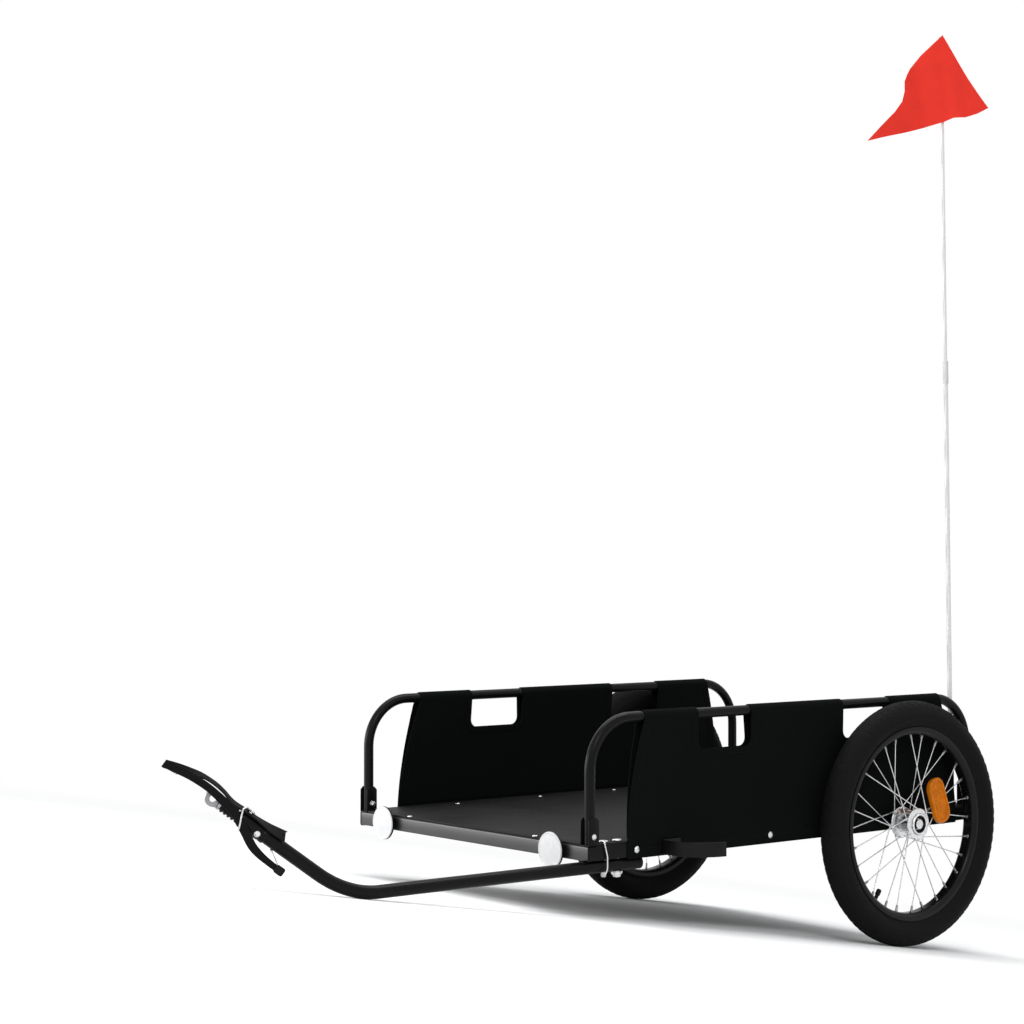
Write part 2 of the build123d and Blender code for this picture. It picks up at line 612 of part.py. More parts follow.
def coupler_eye():
    """The flat eye that goes on the bicycle's hitch."""
    start = joint_start() + JOINT_LENGTH + SEAT_GAP
    flange = along_tip(start, start + EYE_THICKNESS / 2, JOINT_DIAMETER)
    shank = Pos((start + eye_centre()) / 2, 0, 0) * Box(EYE_SHANK, EYE_THICKNESS, JOINT_DIAMETER)
    disc = Pos(eye_centre(), 0, 0) * Cylinder(EYE_DIAMETER / 2, EYE_THICKNESS, rotation=(90, 0, 0))
    bore = Pos(eye_centre(), 0, 0) * Cylinder(EYE_BORE_DIAMETER / 2, 4 * EYE_THICKNESS, rotation=(90, 0, 0))
    return one(flange + shank + disc - bore)


def strap_height():
    """Height of the strap's middle over the arm's centre line, along the socket."""
    return SOCKET_DIAMETER / 2 + SEAT_GAP + STRAP_THICKNESS / 2


def strap_side():
    """Distance from the arm's centre line out to the inner face of the strap's side branch."""
    return SOCKET_DIAMETER / 2 + SEAT_GAP


def strap_nose():
    return eye_centre() + EYE_DIAMETER / 2 + STRAP_REACH


def coupler_pin():
    """The quick-release pin through strap, socket and spigot, its wire bail outside the strap."""
    top = strap_height() + STRAP_THICKNESS / 2 + SEAT_GAP
    end, tail = top + PIN_HEAD_HEIGHT, SOCKET_DIAMETER / 2 + COUPLER_PIN_TAIL
    side = strap_side() + STRAP_THICKNESS + SEAT_GAP + BAIL_WIRE / 2
    s = COUPLER_PIN_S
    pin = rod((s, 0, -tail), (s, 0, top), COUPLER_PIN_DIAMETER)
    head = rod((s, 0, top), (s, 0, end), PIN_HEAD_DIAMETER - BAIL_WIRE)
    upper, lower = end - BAIL_WIRE / 2, BAIL_WIRE / 2 - tail
    return one(pin + head + bail([(s, 0, upper), (s, side, upper), (s, side, lower), (s, 0, lower)]))


def webbing(points, width):
    """The side view of a strip with rounded ends that bends gently through points."""
    points = [Vector(*point) for point in points]
    for end, inner in ((0, 1), (-1, -2)):
        points[end] += (points[inner] - points[end]).normalized() * (width / 2)
    middle = FilletPolyline(*points, radius=STRAP_BEND)
    return make_face(offset(middle, width / 2, side=Side.BOTH).edges())


def safety_strap():
    """Webbing in two branches sewn at the nose: one over the arm, one down its side to the hook."""
    height, eye, nose = strap_height(), eye_centre(), strap_nose()
    seam = nose - STRAP_SEAM
    plane = Plane(origin=(0, 0, 0), x_dir=(1, 0, 0), z_dir=(0, -1, 0))
    side, half = strap_side(), STRAP_WIDTH / 2
    over = [
        (-STRAP_TAIL, height + STRAP_TAIL_LIFT), (-SOCKET_OVERLAP, height),
        (joint_start() + STRAP_THICKNESS, height), (eye, height + STRAP_ARCH), (seam, height), (nose, 0),
    ]
    upper = extrude(plane * webbing(over, STRAP_THICKNESS), -(side + STRAP_THICKNESS))
    upper += extrude(plane * webbing(over, STRAP_THICKNESS), half)
    shift = side + STRAP_THICKNESS - half
    notch = half / 2
    cut = make_face(Polyline(
        (-STRAP_TAIL - notch, -half), (seam, -half), (seam + STRAP_SEAM / 2, shift - half),
        (nose + half, shift - half), (nose + half, shift + half), (seam + STRAP_SEAM / 2, shift + half),
        (seam, half), (-STRAP_TAIL - notch, half), (notch - STRAP_TAIL, 0), close=True,
    ))
    upper &= extrude(cut, 4 * half, both=True)
    along = [
        (STRAP_HOOK_S, -STRAP_HOOK_DROP), (-SOCKET_OVERLAP, -STRAP_HOOK_DROP + STRAP_THICKNESS),
        (COUPLER_PIN_S, -STRAP_SIDE_WIDTH / 2), (eye, STRAP_SIDE_RISE + 1), (seam, STRAP_SIDE_RISE),
        (nose, 0),
    ]
    lower = Pos(0, side + STRAP_THICKNESS, 0) * extrude(plane * webbing(along, STRAP_SIDE_WIDTH), STRAP_THICKNESS)
    return one(upper + lower - coupler_pin_hole())


def strap_hook():
    """The hook at the side branch's end and the wire that hangs it from the arm."""
    middle = strap_side() + STRAP_THICKNESS / 2
    body = Box(HOOK_LENGTH, HOOK_WIDTH, HOOK_THICKNESS, align=(Align.MAX, Align.CENTER, Align.CENTER))
    body = fillet(body.edges().filter_by(Axis.Z), HOOK_WIDTH / 4)
    body = Pos(STRAP_HOOK_S - SEAT_GAP, middle, -STRAP_HOOK_DROP) * body
    low = (STRAP_HOOK_S - HOOK_LENGTH / 2, middle - HOOK_WIDTH / 4, -STRAP_HOOK_DROP)
    clip = ARM_DIAMETER / 2 + SEAT_GAP + RING_WIRE / 2
    return one(body + rod(low, (RING_CLIP_S, 0, -clip), RING_WIRE))


# ---- reflectors on the frame: drawn facing -X, with the rail's face at X = 0 ---------------------
def turned(points):
    """A solid of revolution about X from (distance ahead of the rail, radius) points."""
    corners = [(-ahead, radius) for ahead, radius in points]
    return one(revolve(make_face(Polyline(*corners, close=True)), Axis.X))


def reflector_backing():
    stem, disc = BACKING_STEM_DIAMETER / 2, BACKING_DIAMETER / 2
    face = BACKING_STEM + BACKING_THICKNESS
    return turned([(0, 0), (0, stem), (BACKING_STEM, stem), (BACKING_STEM, disc), (face, disc), (face, 0)])


def reflector_lens():
    start = BACKING_STEM + BACKING_THICKNESS
    rim_face = start + LENS_THICKNESS - LENS_DOME
    radius = LENS_DIAMETER / 2
    sphere = (radius ** 2 + LENS_DOME ** 2) / (2 * LENS_DOME)
    edge = Polyline((-rim_face, radius), (-start, radius), (-start, 0), (-start - LENS_THICKNESS, 0))
    dome = RadiusArc((-start - LENS_THICKNESS, 0), (-rim_face, radius), sphere)
    return one(revolve(make_face(edge.edges() + dome.edges()), Axis.X))


def on_rail(shape, end, side):
    """Fixes a reflector piece to the front or rear rail."""
    y = side * (RAIL_FACE - FRAME_REFLECTOR_INSET)
    if end == "front":
        return Pos(0, y, RAIL_Z) * shape
    return Pos(FRAME_LENGTH, y, RAIL_Z) * Rot(0, 0, 180) * shape


# ---- flag: drawn about the pole's line, with the floor at Z = 0 --------------------------------
def flag_socket():
    """A moulded foot and sleeve for the pole."""
    bore = FLAG_LOWER_DIAMETER / 2 + FLAG_FIT
    sleeve, foot = FLAG_SOCKET_DIAMETER / 2, FLAG_SOCKET_FOOT / 2
    low, step = SEAT_GAP, FLAG_SOCKET_FOOT_HEIGHT
    points = [
        (0, low), (foot, low), (foot, step), (sleeve, 3 * step), (sleeve, FLAG_SOCKET_HEIGHT),
        (bore, FLAG_SOCKET_HEIGHT), (bore, step), (0, step),
    ]
    face = Plane.XZ * make_face(Polyline(*points, close=True))
    return one(revolve(face, Axis.Z))


def flag_pole_lower():
    bottom = FLAG_SOCKET_FOOT_HEIGHT + FLAG_FIT
    return rod((0, 0, bottom), (0, 0, FLAG_JOINT_HEIGHT - FLAG_FIT), FLAG_LOWER_DIAMETER)


def flag_pole_upper():
    return rod((0, 0, FLAG_JOINT_HEIGHT), (0, 0, FLAG_TOP_HEIGHT), FLAG_UPPER_DIAMETER)


def flag_ferrule():
    half = FLAG_FERRULE_LENGTH / 2
    low, middle, high = ((0, 0, FLAG_JOINT_HEIGHT + way * half) for way in (-1, 0, 1))
    tube = rod(low, high, FLAG_FERRULE_DIAMETER)
    tube -= rod(low, middle, FLAG_LOWER_DIAMETER + FLAG_FIT)
    return one(tube - rod(middle, high, FLAG_UPPER_DIAMETER + FLAG_FIT))


def flag():
    """The pennant, with the sleeve that the pole's tip stands in."""
    top, low = FLAG_TOP_HEIGHT + 2 * FLAG_FIT, FLAG_TOP_HEIGHT - FLAG_HEIGHT
    sleeve = FLAG_UPPER_DIAMETER / 2 + FLAG_FIT + FLAG_THICKNESS
    outline = Polyline(
        (0, top + FLAG_THICKNESS),
        (-0.55 * FLAG_FORWARD, low + 0.38 * FLAG_HEIGHT),
        (-FLAG_FORWARD, low - FLAG_TIP_DROP),
        (-0.5 * FLAG_FORWARD, low - 0.3 * FLAG_TIP_DROP),
        (0, low),
        (FLAG_REARWARD, low + 0.1 * FLAG_HEIGHT),
        close=True,
    )
    sheet = extrude(Plane.XZ * make_face(outline), FLAG_THICKNESS / 2, both=True)
    body = sheet + rod((0, 0, low), (0, 0, top), 2 * sleeve)
    body -= rod((0, 0, low - 1), (0, 0, FLAG_TOP_HEIGHT + FLAG_FIT), FLAG_UPPER_DIAMETER + 2 * FLAG_FIT)
    return one(Rot(0, 0, FLAG_HEADING) * body)


def on_pole(shape):
    foot = Pos(FRAME_LENGTH - FLAG_POLE_FROM_REAR, FLAG_POLE_INSET - RAIL_FACE, FLOOR_TOP)
    return foot * Rot(0, -FLAG_POLE_LEAN, 0) * shape


# ---- the trailer, level ------------------------------------------------------------------
def level_pieces():
    pieces = {
        "front_rail": end_rail(0, -90),
        "rear_rail": end_rail(FRAME_LENGTH, 90),
        "cross_member": cross_tube(CROSS_MEMBER_X),
        "axle_beam": cross_tube(AXLE_X),
        "floor_board": floor_board(),
        "tow_arm": tow_arm(),
        "lock_pin": lock_pin(),
        "pivot_bolt": pivot_bolt(),
        "flag_socket": on_pole(flag_socket()),
        "flag_pole_lower": on_pole(flag_pole_lower()),
        "flag_ferrule": on_pole(flag_ferrule()),
        "flag_pole_upper": on_pole(flag_pole_upper()),
        "flag": on_pole(flag()),
    }
    tip = tip_frame().location
    for name, shape in (
        ("coupler_socket", coupler_socket()),
        ("coupler_joint", coupler_joint()),
        ("coupler_eye", coupler_eye()),
        ("coupler_pin", coupler_pin()),
        ("safety_strap", safety_strap()),
        ("strap_hook", strap_hook()),
    ):
        pieces[name] = tip * shape
    for name, side in (("left", LEFT), ("right", RIGHT)):
        pieces[f"{name}_rail"] = side_rail(side)
        pieces[f"{name}_hoop"] = hoop(side)
        pieces[f"{name}_side_panel"] = side_panel(side)
        pieces[f"{name}_deflector"] = deflector(side)
        pieces[f"{name}_axle"] = at_wheel(stub_axle(), side)
        pieces[f"{name}_tyre"] = at_wheel(tyre(), side)
        pieces[f"{name}_rim"] = at_wheel(rim(), side)
        pieces[f"{name}_hub"] = at_wheel(hub(), side)
        pieces[f"{name}_spokes"] = at_wheel(spokes(), side)
        pieces[f"{name}_wheel_reflector"] = at_wheel(wheel_reflector(), side)
        pieces[f"{name}_valve"] = at_wheel(valve(), side)
        for end in ("front", "rear"):
            pieces[f"{end}_{name}_bracket"] = bracket(end, side)
            pieces[f"{end}_{name}_reflector"] = on_rail(reflector_lens(), end, side)
            pieces[f"{end}_{name}_reflector_base"] = on_rail(reflector_backing(), end, side)
    return pieces


# ---- parked -------------------------------------------------------------------------------
def arm_clearance(angle):
    """Height of the arm's belly over the ground with the nose down by an angle in radians."""
    rear, corner, tip = arm_points()
    ahead = (corner - rear).normalized()
    onward = (tip - corner).normalized()
    turn = math.radians(ahead.get_angle(onward))
    start = corner - ahead * (ARM_BEND_RADIUS * math.tan(turn / 2))
    inward = (onward - ahead * ahead.dot(onward)).normalized()
    centre = start + inward * ARM_BEND_RADIUS
    down = Vector(-math.sin(angle), 0, -math.cos(angle))
    reach = math.hypot(down.dot(ahead), down.dot(inward))
    lowest = down.dot(centre - Vector(AXLE_X, 0, AXLE_Z)) + ARM_BEND_RADIUS * reach
    return AXLE_Z - lowest - ARM_DIAMETER / 2


def park_angle():
    """The nose-down angle, in degrees, at which the arm's bend touches the ground."""
    low, high = 0.0, math.radians(45)
    for _ in range(60):
        middle = (low + high) / 2
        if arm_clearance(middle) > 0:
            low = middle
        else:
            high = middle
    return math.degrees(low)


def park_location(pieces):
    """Tips the level trailer about its axle line and centres its footprint on the origin."""
    tip = Pos(AXLE_X, 0, AXLE_Z) * Rot(0, -park_angle(), 0) * Pos(-AXLE_X, 0, -AXLE_Z)
    boxes = [(tip * shape).bounding_box() for shape in pieces.values()]
    middle = (min(box.min.X for box in boxes) + max(box.max.X for box in boxes)) / 2
    return Pos(-middle, 0, 0) * tip


LEVEL = level_pieces()
PARK = park_location(LEVEL)

os.makedirs("parts", exist_ok=True)
for node, solid in LEVEL.items():
    export_step(PARK * solid, f"parts/{node}.step")
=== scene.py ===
import json
import random
from math import atan2, cos, degrees, hypot, pi, radians, sin, sqrt, tan

import bmesh
import bpy
from mathutils import Matrix, Vector, noise
from mathutils.geometry import delaunay_2d_cdt

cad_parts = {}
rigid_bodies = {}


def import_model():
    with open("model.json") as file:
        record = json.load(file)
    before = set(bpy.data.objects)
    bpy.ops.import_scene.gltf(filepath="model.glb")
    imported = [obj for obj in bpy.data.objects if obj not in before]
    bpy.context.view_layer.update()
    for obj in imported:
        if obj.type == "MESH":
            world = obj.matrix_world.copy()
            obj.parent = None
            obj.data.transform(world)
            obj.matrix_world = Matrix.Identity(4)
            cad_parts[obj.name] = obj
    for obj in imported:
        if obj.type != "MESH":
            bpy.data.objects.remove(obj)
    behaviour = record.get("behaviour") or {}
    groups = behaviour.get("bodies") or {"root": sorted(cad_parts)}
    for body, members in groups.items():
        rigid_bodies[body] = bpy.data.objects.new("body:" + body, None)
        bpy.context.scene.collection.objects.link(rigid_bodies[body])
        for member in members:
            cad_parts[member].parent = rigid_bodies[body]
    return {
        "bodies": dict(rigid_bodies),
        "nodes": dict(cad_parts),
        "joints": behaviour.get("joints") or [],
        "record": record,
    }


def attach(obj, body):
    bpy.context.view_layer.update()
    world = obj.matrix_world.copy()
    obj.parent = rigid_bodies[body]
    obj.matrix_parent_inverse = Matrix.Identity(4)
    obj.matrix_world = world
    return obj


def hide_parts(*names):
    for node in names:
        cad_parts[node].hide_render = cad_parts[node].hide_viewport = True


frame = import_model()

# A flat-bed cargo trailer for a bicycle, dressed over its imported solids.
#
# Forms are written in the towing frame, as the part is: millimetres, X rearward from the front
# rail's face, Y to the trailer's right, Z up from the road.  LEVEL carries them to the parked part.

for thing in set(bpy.data.objects) - set(frame["nodes"].values()) - set(frame["bodies"].values()):
    bpy.data.objects.remove(thing)
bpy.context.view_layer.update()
NODES = frame["nodes"]
LEFT, RIGHT = -1, 1
SIDES = {"left": LEFT, "right": RIGHT}


def moved(x=0.0, y=0.0, z=0.0):
    return Matrix.Translation((x, y, z))


def turned(angle, axis):
    return Matrix.Rotation(radians(angle), 4, axis)


floor_axis = next(m for m in frame["record"]["mounts"] if m["name"] == "load_floor")["axis"]
NOSE_DOWN = atan2(-floor_axis[0], floor_axis[2])
axle = Vector(frame["joints"][0]["pos_m"])
ABOUT_AXLE = moved(axle.x, 0, axle.z) @ Matrix.Rotation(-NOSE_DOWN, 4, "Y")
front = min((ABOUT_AXLE.inverted() @ v.co).x for v in NODES["front_rail"].data.vertices)
LEVEL = ABOUT_AXLE @ moved(front, 0, -axle.z) @ Matrix.Scale(0.001, 4)
FROM_LEVEL = LEVEL.inverted()


def level_box(node):
    """A CAD node's lowest and highest corner, middle and half size in the towing frame."""
    points = [FROM_LEVEL @ v.co for v in NODES[node].data.vertices]
    low, high = (Vector([pick(p[i] for p in points) for i in range(3)]) for pick in (min, max))
    return low, high, (low + high) / 2, (high - low) / 2


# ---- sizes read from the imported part
low, high, middle, half = level_box("front_rail")
FACE, RAIL_LOW, RAIL_TOP, RAIL_MID, RAIL = high.y, low.z, high.z, middle.z, 2 * half.z
LENGTH = level_box("rear_rail")[1].x
BOARD_TOP = level_box("floor_board")[1].z
low, high, middle, half = level_box("right_hoop")
HOOP_R, HOOP_Y, HOOP_Z, HOOP_FOOT = half.y, middle.y, high.z - half.y, low.z
LEG_FRONT, LEG_REAR = low.x + HOOP_R, high.x - HOOP_R
low, high, middle, half = level_box("right_side_panel")
PANEL_LOW, PANEL_OUT = low.z, high.y
low, high, middle, half = level_box("right_tyre")
AXLE_X, WHEEL_Y, AXLE_Z, TYRE_R, TYRE_HALF = *middle, half.x, half.y
RIM_R, RIM_HALF, _ = level_box("right_rim")[3]
low, high, middle, half = level_box("right_hub")
FLANGE_R, HUB_IN, HUB_OUT = half.x, low.y - WHEEL_Y, high.y - WHEEL_Y
low, high, middle, half = level_box("right_axle")
AXLE_IN, AXLE_OUT = low.y - WHEEL_Y, high.y - WHEEL_Y
BRACKET_HALF = level_box("front_right_bracket")[3].y
low, high, middle, half = level_box("right_deflector")
BAND_X, BAND_IN, BAND_OUT, BAND_LOW, BAND_TOP = low.x, low.y, high.y, low.z, high.z

# ---- sizes that the part's source names
HOOP_BEND, CLOTH = 77, 1.2
SLEEVE_R = HOOP_R + 0.3 + CLOTH / 2
PANEL_TOP_FRONT, PANEL_LOW_FRONT, PANEL_TOP_REAR, PANEL_LOW_REAR, EDGE_BOW = 112, 75, 84, 46, 9
INNER_FOOT = 219
HANDLE_FRONT, HANDLE_REAR, HANDLE_RUN, HANDLE_DEPTH, HANDLE_ROUND = 221, 208, 112, 55, 14
BAND_THICK, BAND_RADIUS, BAND_FOOT = 2.5, 58, 36
ARM_R, ARM_REAR, ARM_Y, ARM_Z, ARM_BEND = 9.5, 108, 279, RAIL_LOW - 9.7, 135
ARM_CORNER = Vector((-417, -ARM_Y, ARM_Z))
ARM_TIP = ARM_CORNER + Vector((-113, 44, 90.4))
LOCK_X, BOLT_X, PIN_R, HEAD_R, BAIL_R = 39, 65, 4, 7, 1.25
BED_R, SPOKES, SPOKE_R, CROSSINGS = 145, 14, 0.9, 2
FLANGE_Y, FLANGE_THICK = 17, 2.5
HOLE_R = FLANGE_R - 2.5                              # of the circle of spoke holes
HEAD_Y = FLANGE_THICK / 2 + SPOKE_R + 0.1            # from a flange's middle to a spoke beside it
BARREL_R, CUP_R, RECESS_R, COLLAR_R = 15, 18, 14, 10
RECESS_FLOOR = HUB_OUT - 6
AMBER_RADIUS, AMBER_ANGLE, AMBER_LEAN, AMBER_LONG, AMBER_WIDE, AMBER_THICK = 59, 36.5, 17, 75, 42, 8
AMBER_CORNER = 18
VALVE_ANGLE, VALVE_LENGTH = -126, 20
LENS_R, LENS_THICK, BACK_R, BACK_THICK, STEM, STEM_R, LENS_INSET = 27, 2.5, 27, 4, 5, 12, 76
SOCKET_R, SOCKET_START, SOCKET_END, COUPLER_PIN_S, COUPLER_PIN_R = 11, -12, 32, 24, 3
RUBBER_R, RUBBER_LENGTH, RUBBER_RIBS, EYE_R, EYE_BORE, EYE_THICK = 9, 30, 5, 11, 5, 8
EYE_START = SOCKET_END + 0.6 + RUBBER_LENGTH
POLE_FROM_REAR, POLE_INSET, POLE_LEAN = 26, 25, 0.8
POLE_LOW_R, POLE_HIGH_R, FERRULE_R, FERRULE_MID, FERRULE_RUN, POLE_TOP = 4, 3, 4.8, 735, 38, 1307
FLAG_HEADING = -38.7


# ---- forms
class Form:
    """A mesh in the making: closed shells, added one by one.  Each call gives the form back."""

    def __init__(self):
        self.mesh = bmesh.new()

    def shell(self, points, faces, place=None):
        made = [self.mesh.verts.new(place @ Vector(p) if place else p) for p in points]
        for face in faces:
            self.mesh.faces.new([made[i] for i in face])
        return self

    def rows(self, rows, place=None, looped=False):
        """Skins rows of points, each a closed loop of the same count, and caps them unless looped."""
        n, faces, last = len(rows[0]), [], len(rows) * len(rows[0])
        for a in range(0, last if looped else last - n, n):
            b = (a + n) % last
            faces += [(a + i, a + (i + 1) % n, b + (i + 1) % n, b + i) for i in range(n)]
        if not looped:
            faces += [tuple(range(n))[::-1], tuple(range(last - n, last))]
        return self.shell([p for row in rows for p in row], faces, place)

    def lathe(self, profile, place, steps):
        """Turns a closed profile of (radius, height) points about Z."""
        return self.rows([[(r * c, r * s, z) for r, z in profile] for c, s in turns(steps)], place, True)

    def rod(self, profile, top, place, steps):
        """Turns a profile about Z, from a flat foot to a tip at the height top: a form with no bore."""
        core = 0.01
        profile = [(core, profile[0][1]), *profile, (core, top)]
        return self.rows([[(r * c, r * s, z) for c, s in turns(steps)] for r, z in profile], place)

    def sweep(self, path, section, up=(0, 0, 1), place=None, looped=False):
        """Carries a section of (across, up) points along a path without twist."""
        path = [Vector(p) for p in path]
        up, rows = Vector(up), []
        for i, p in enumerate(path):
            before = path[i - 1] if i or looped else p
            after = path[(i + 1) % len(path)] if i < len(path) - 1 or looped else p
            along = (after - before).normalized()
            across = along.cross(up).normalized()
            up = across.cross(along)
            rows.append([p + across * u + up * v for u, v in section])
        return self.rows(rows, place, looped)

    def slab(self, outline, low, high, bevel, place=None, segments=2):
        """A flat plate: an outline in XY between two heights, its edges rounded."""
        part = Form().rows([[(x, y, z) for x, y in outline] for z in (low, high)]).mesh
        bmesh.ops.recalc_face_normals(part, faces=part.faces)
        sharp = [e for e in part.edges if e.calc_face_angle(0) > radians(40)]
        bmesh.ops.bevel(part, geom=sharp, offset=bevel, segments=segments, affect="EDGES", profile=0.5,
                        clamp_overlap=True)
        if place:
            part.transform(place)
        kept = bpy.data.meshes.new("part")
        part.to_mesh(kept)
        self.mesh.from_mesh(kept)
        bpy.data.meshes.remove(kept)
        part.free()
        return self

    def block(self, size, bevel, place=None, segments=2):
        x, y, z = (s / 2 for s in size)
        return self.slab([(-x, -y), (x, -y), (x, y), (-x, y)], -z, z, bevel, place, segments)


def turns(steps):
    return [(cos(2 * pi * i / steps), sin(2 * pi * i / steps)) for i in range(steps)]


def disc(radius, steps):
    return [(radius * c, radius * s) for c, s in turns(steps)]


def box_section(wide, tall, round_by, steps=3):
    """A rectangle's outline with rounded corners."""
    points = []
    for k, (sx, sy) in enumerate(((1, 1), (-1, 1), (-1, -1), (1, -1))):
        for i in range(steps + 1):
            a = pi / 2 * (k + i / steps)
            points.append((sx * (wide / 2 - round_by) + round_by * cos(a),
                           sy * (tall / 2 - round_by) + round_by * sin(a)))
    return points


def rounded(points, radii, step=7.0):
    """A path through the points with its inner corners turned into arcs, of one radius or each its own."""
    points = [Vector(p) for p in points]
    if not isinstance(radii, list):
        radii = [radii] * (len(points) - 2)
    path = [points[0]]
    for a, b, c, r in zip(points, points[1:], points[2:], radii):
        inward, onward = (b - a).normalized(), (c - b).normalized()
        turn = inward.angle(onward)
        side = (onward - inward * inward.dot(onward)).normalized()
        start, count = b - inward * r * tan(turn / 2), max(2, round(degrees(turn) / step))
        for i in range(count + 1):
            t = turn * i / count
            path.append(start + inward * (r * sin(t)) + side * (r * (1 - cos(t))))
    return path + [points[-1]]


def dense(points, gap, closed=True):
    """The points of a ring, or of an open path, with others between them about a gap apart."""
    points, found = [Vector(p) for p in points], []
    for a, b in zip(points, points[1:] + points[:1] if closed else points[1:]):
        n = max(1, round((b - a).length / gap))
        found += [a.lerp(b, i / n) for i in range(n)]
    return found if closed else found + points[-1:]


def spaced(path, gap):
    """Points evenly apart along a path, each with its direction."""
    found, left = [], gap / 2
    for a, b in zip(path, path[1:]):
        run, way = (b - a).length, (b - a).normalized()
        while left <= run:
            found.append((a + way * left, way))
            left += gap
        left -= run
    return found


def facing(origin, z, x=(1, 0, 0)):
    """A place whose own Z looks along z and whose own X lies as near x as it can."""
    z = Vector(z).normalized()
    y = z.cross(Vector(x)).normalized()
    return Matrix.Translation(origin) @ Matrix((y.cross(z), y, z)).transposed().to_4x4()


def spread(points):
    """How far flat points reach: their width and their height."""
    return [max(p[i] for p in points) - min(p[i] for p in points) for i in (0, 1)]


def share(x):
    return max(0.0, min(1.0, x))


def piece(name, form, finish, replaces=None, body="root", place=LEVEL, crease=38):
    """Makes the form an object with a finish that rides on a body and stands for a CAD node."""
    slot, paint = finish
    form.mesh.transform(place)
    bmesh.ops.remove_doubles(form.mesh, verts=form.mesh.verts, dist=1e-7)
    bmesh.ops.recalc_face_normals(form.mesh, faces=form.mesh.faces)
    for face in form.mesh.faces:
        face.smooth = True
    for edge in form.mesh.edges:
        edge.smooth = edge.calc_face_angle(0) < radians(crease)
    thing = added(name, form.mesh, paint)
    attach(thing, body)
    if replaces:
        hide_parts(replaces)
    return thing


def added(name, made, paint):
    """Puts a finished mesh in the scene."""
    mesh = bpy.data.meshes.new(name)
    made.to_mesh(mesh)
    made.free()
    mesh.materials.append(paint)
    thing = bpy.data.objects.new(name, mesh)
    bpy.context.scene.collection.objects.link(thing)
    return thing


# ---- materials
def cleared(owner):
    owner.use_nodes = True
    owner.node_tree.nodes.clear()
    return owner.node_tree


def node(tree, kind, inputs=None, out=0, **settings):
    """Adds a node whose inputs are values or sockets to link, and gives one of its outputs."""
    made = tree.nodes.new("ShaderNode" + kind)
    for key, value in settings.items():
        setattr(made, key, value)
    for key, value in (inputs or {}).items():
        if isinstance(value, bpy.types.NodeSocket):
            tree.links.new(value, made.inputs[key])
        else:
            made.inputs[key].default_value = value
    return made.outputs[out] if made.outputs else made


def look(slot, name, colour, roughness, metallic=0.0, specular=0.5, shade=0.12, cloud=30, scuff=0.06,
         grain=900, depth=3e-5, threads=None, thread_depth=1e-4, turn=0.0, coat=0.0, fibres="XZ"):
    """A procedural finish: cloudy colour and roughness, a fine grain, and woven threads if named."""
    made = bpy.data.materials.new(name)
    tree = cleared(made)
    where = node(tree, "TexCoord", out="Object")
    where = node(tree, "Mapping", {0: where, "Rotation": (0, NOSE_DOWN, radians(turn))})
    clouds, fine = (node(tree, "TexNoise", {"Vector": where, "Scale": scale, "Detail": detail,
                                            "Roughness": rough}, "Fac")
                    for scale, detail, rough in ((cloud, 4, 0.6), (grain, 2, 0.5)))
    tint = node(tree, "ValToRGB", {0: clouds})
    for stop, spot, change in zip(tint.node.color_ramp.elements, (0.32, 0.68), (1 - shade, 1 + shade)):
        stop.position, stop.color = spot, (*[min(1.0, c * change) for c in colour], 1)
    mixed = node(tree, "Math", {0: fine, 1: 0.35, 2: clouds}, operation="MULTIPLY_ADD")
    mixed = node(tree, "Math", {0: mixed, 1: 0.175}, operation="SUBTRACT")
    worn = node(tree, "MapRange", {0: mixed, "From Min": 0.3, "From Max": 0.7,
                                   "To Min": max(0.02, roughness - scuff),
                                   "To Max": min(1.0, roughness + scuff)})
    bump = node(tree, "Bump", {"Strength": 0.8, "Distance": depth, "Height": fine})
    if threads:
        waves = [node(tree, "TexWave", {"Vector": where, "Scale": pi / 10 / (threads * 0.001),
                                        "Distortion": 0.6, "Detail": 1.0, "Detail Scale": 2.0}, "Fac",
                      wave_type="BANDS", bands_direction=direction, wave_profile="SIN")
                 for direction in fibres]
        cloth = waves[0] if len(waves) == 1 else node(tree, "Math", {0: waves[0], 1: waves[1]},
                                                      operation="MAXIMUM")
        bump = node(tree, "Bump", {"Strength": 0.9, "Distance": thread_depth, "Height": cloth,
                                   "Normal": bump})
        tone = node(tree, "MapRange", {0: cloth, "To Min": 0.72, "To Max": 1.12})
        tint = node(tree, "VectorMath", {0: tint, "Scale": tone}, operation="SCALE")
    shader = node(tree, "BsdfPrincipled", {
        "Base Color": tint, "Roughness": worn, "Normal": bump, "Metallic": metallic,
        "Specular IOR Level": specular, "Coat Weight": coat, "Coat Roughness": 0.12})
    node(tree, "OutputMaterial", {0: shader})
    return slot, made


PAINT = dict(shade=0.1, cloud=20, scuff=0.05, grain=1500)
METAL = dict(metallic=1.0, scuff=0.08)
LENS = dict(cloud=45, grain=420, depth=2e-4)
BLACK_PAINT = look("frame_paint", "frame_paint", (0.0042, 0.0042, 0.0045), 0.3, specular=0.1, **PAINT)
# The front rail's lighter, glossier copy of the frame paint: painted reflection for the light grey its face
# catches; the rail wears the same black paint as the rest of the frame.
RAIL_PAINTED_REFLECTION = look("frame_paint", "front_rail_painted_reflection", (0.008, 0.008, 0.0084), 0.34, specular=0.65, **PAINT)
BOARD = look("floor", "floor_board", (0.010, 0.010, 0.0108), 0.6, specular=0.1, shade=0.16, cloud=9,
             scuff=0.08, grain=700, depth=5e-5)
FABRIC = look("panel_fabric", "panel_fabric", (0.0038, 0.0046, 0.0043), 0.85, specular=0.03,
              shade=0.14, cloud=11, scuff=0.08, depth=2e-5, threads=0.8, thread_depth=1.2e-4)
SEAM = look("panel_fabric", "seam_thread", (0.006, 0.0065, 0.0065), 0.7, specular=0.08, cloud=14, grain=3000)
WEBBING = look("webbing", "webbing", (0.006, 0.006, 0.0062), 0.7, specular=0.08, shade=0.2, cloud=60,
               threads=1.5, thread_depth=3e-4)
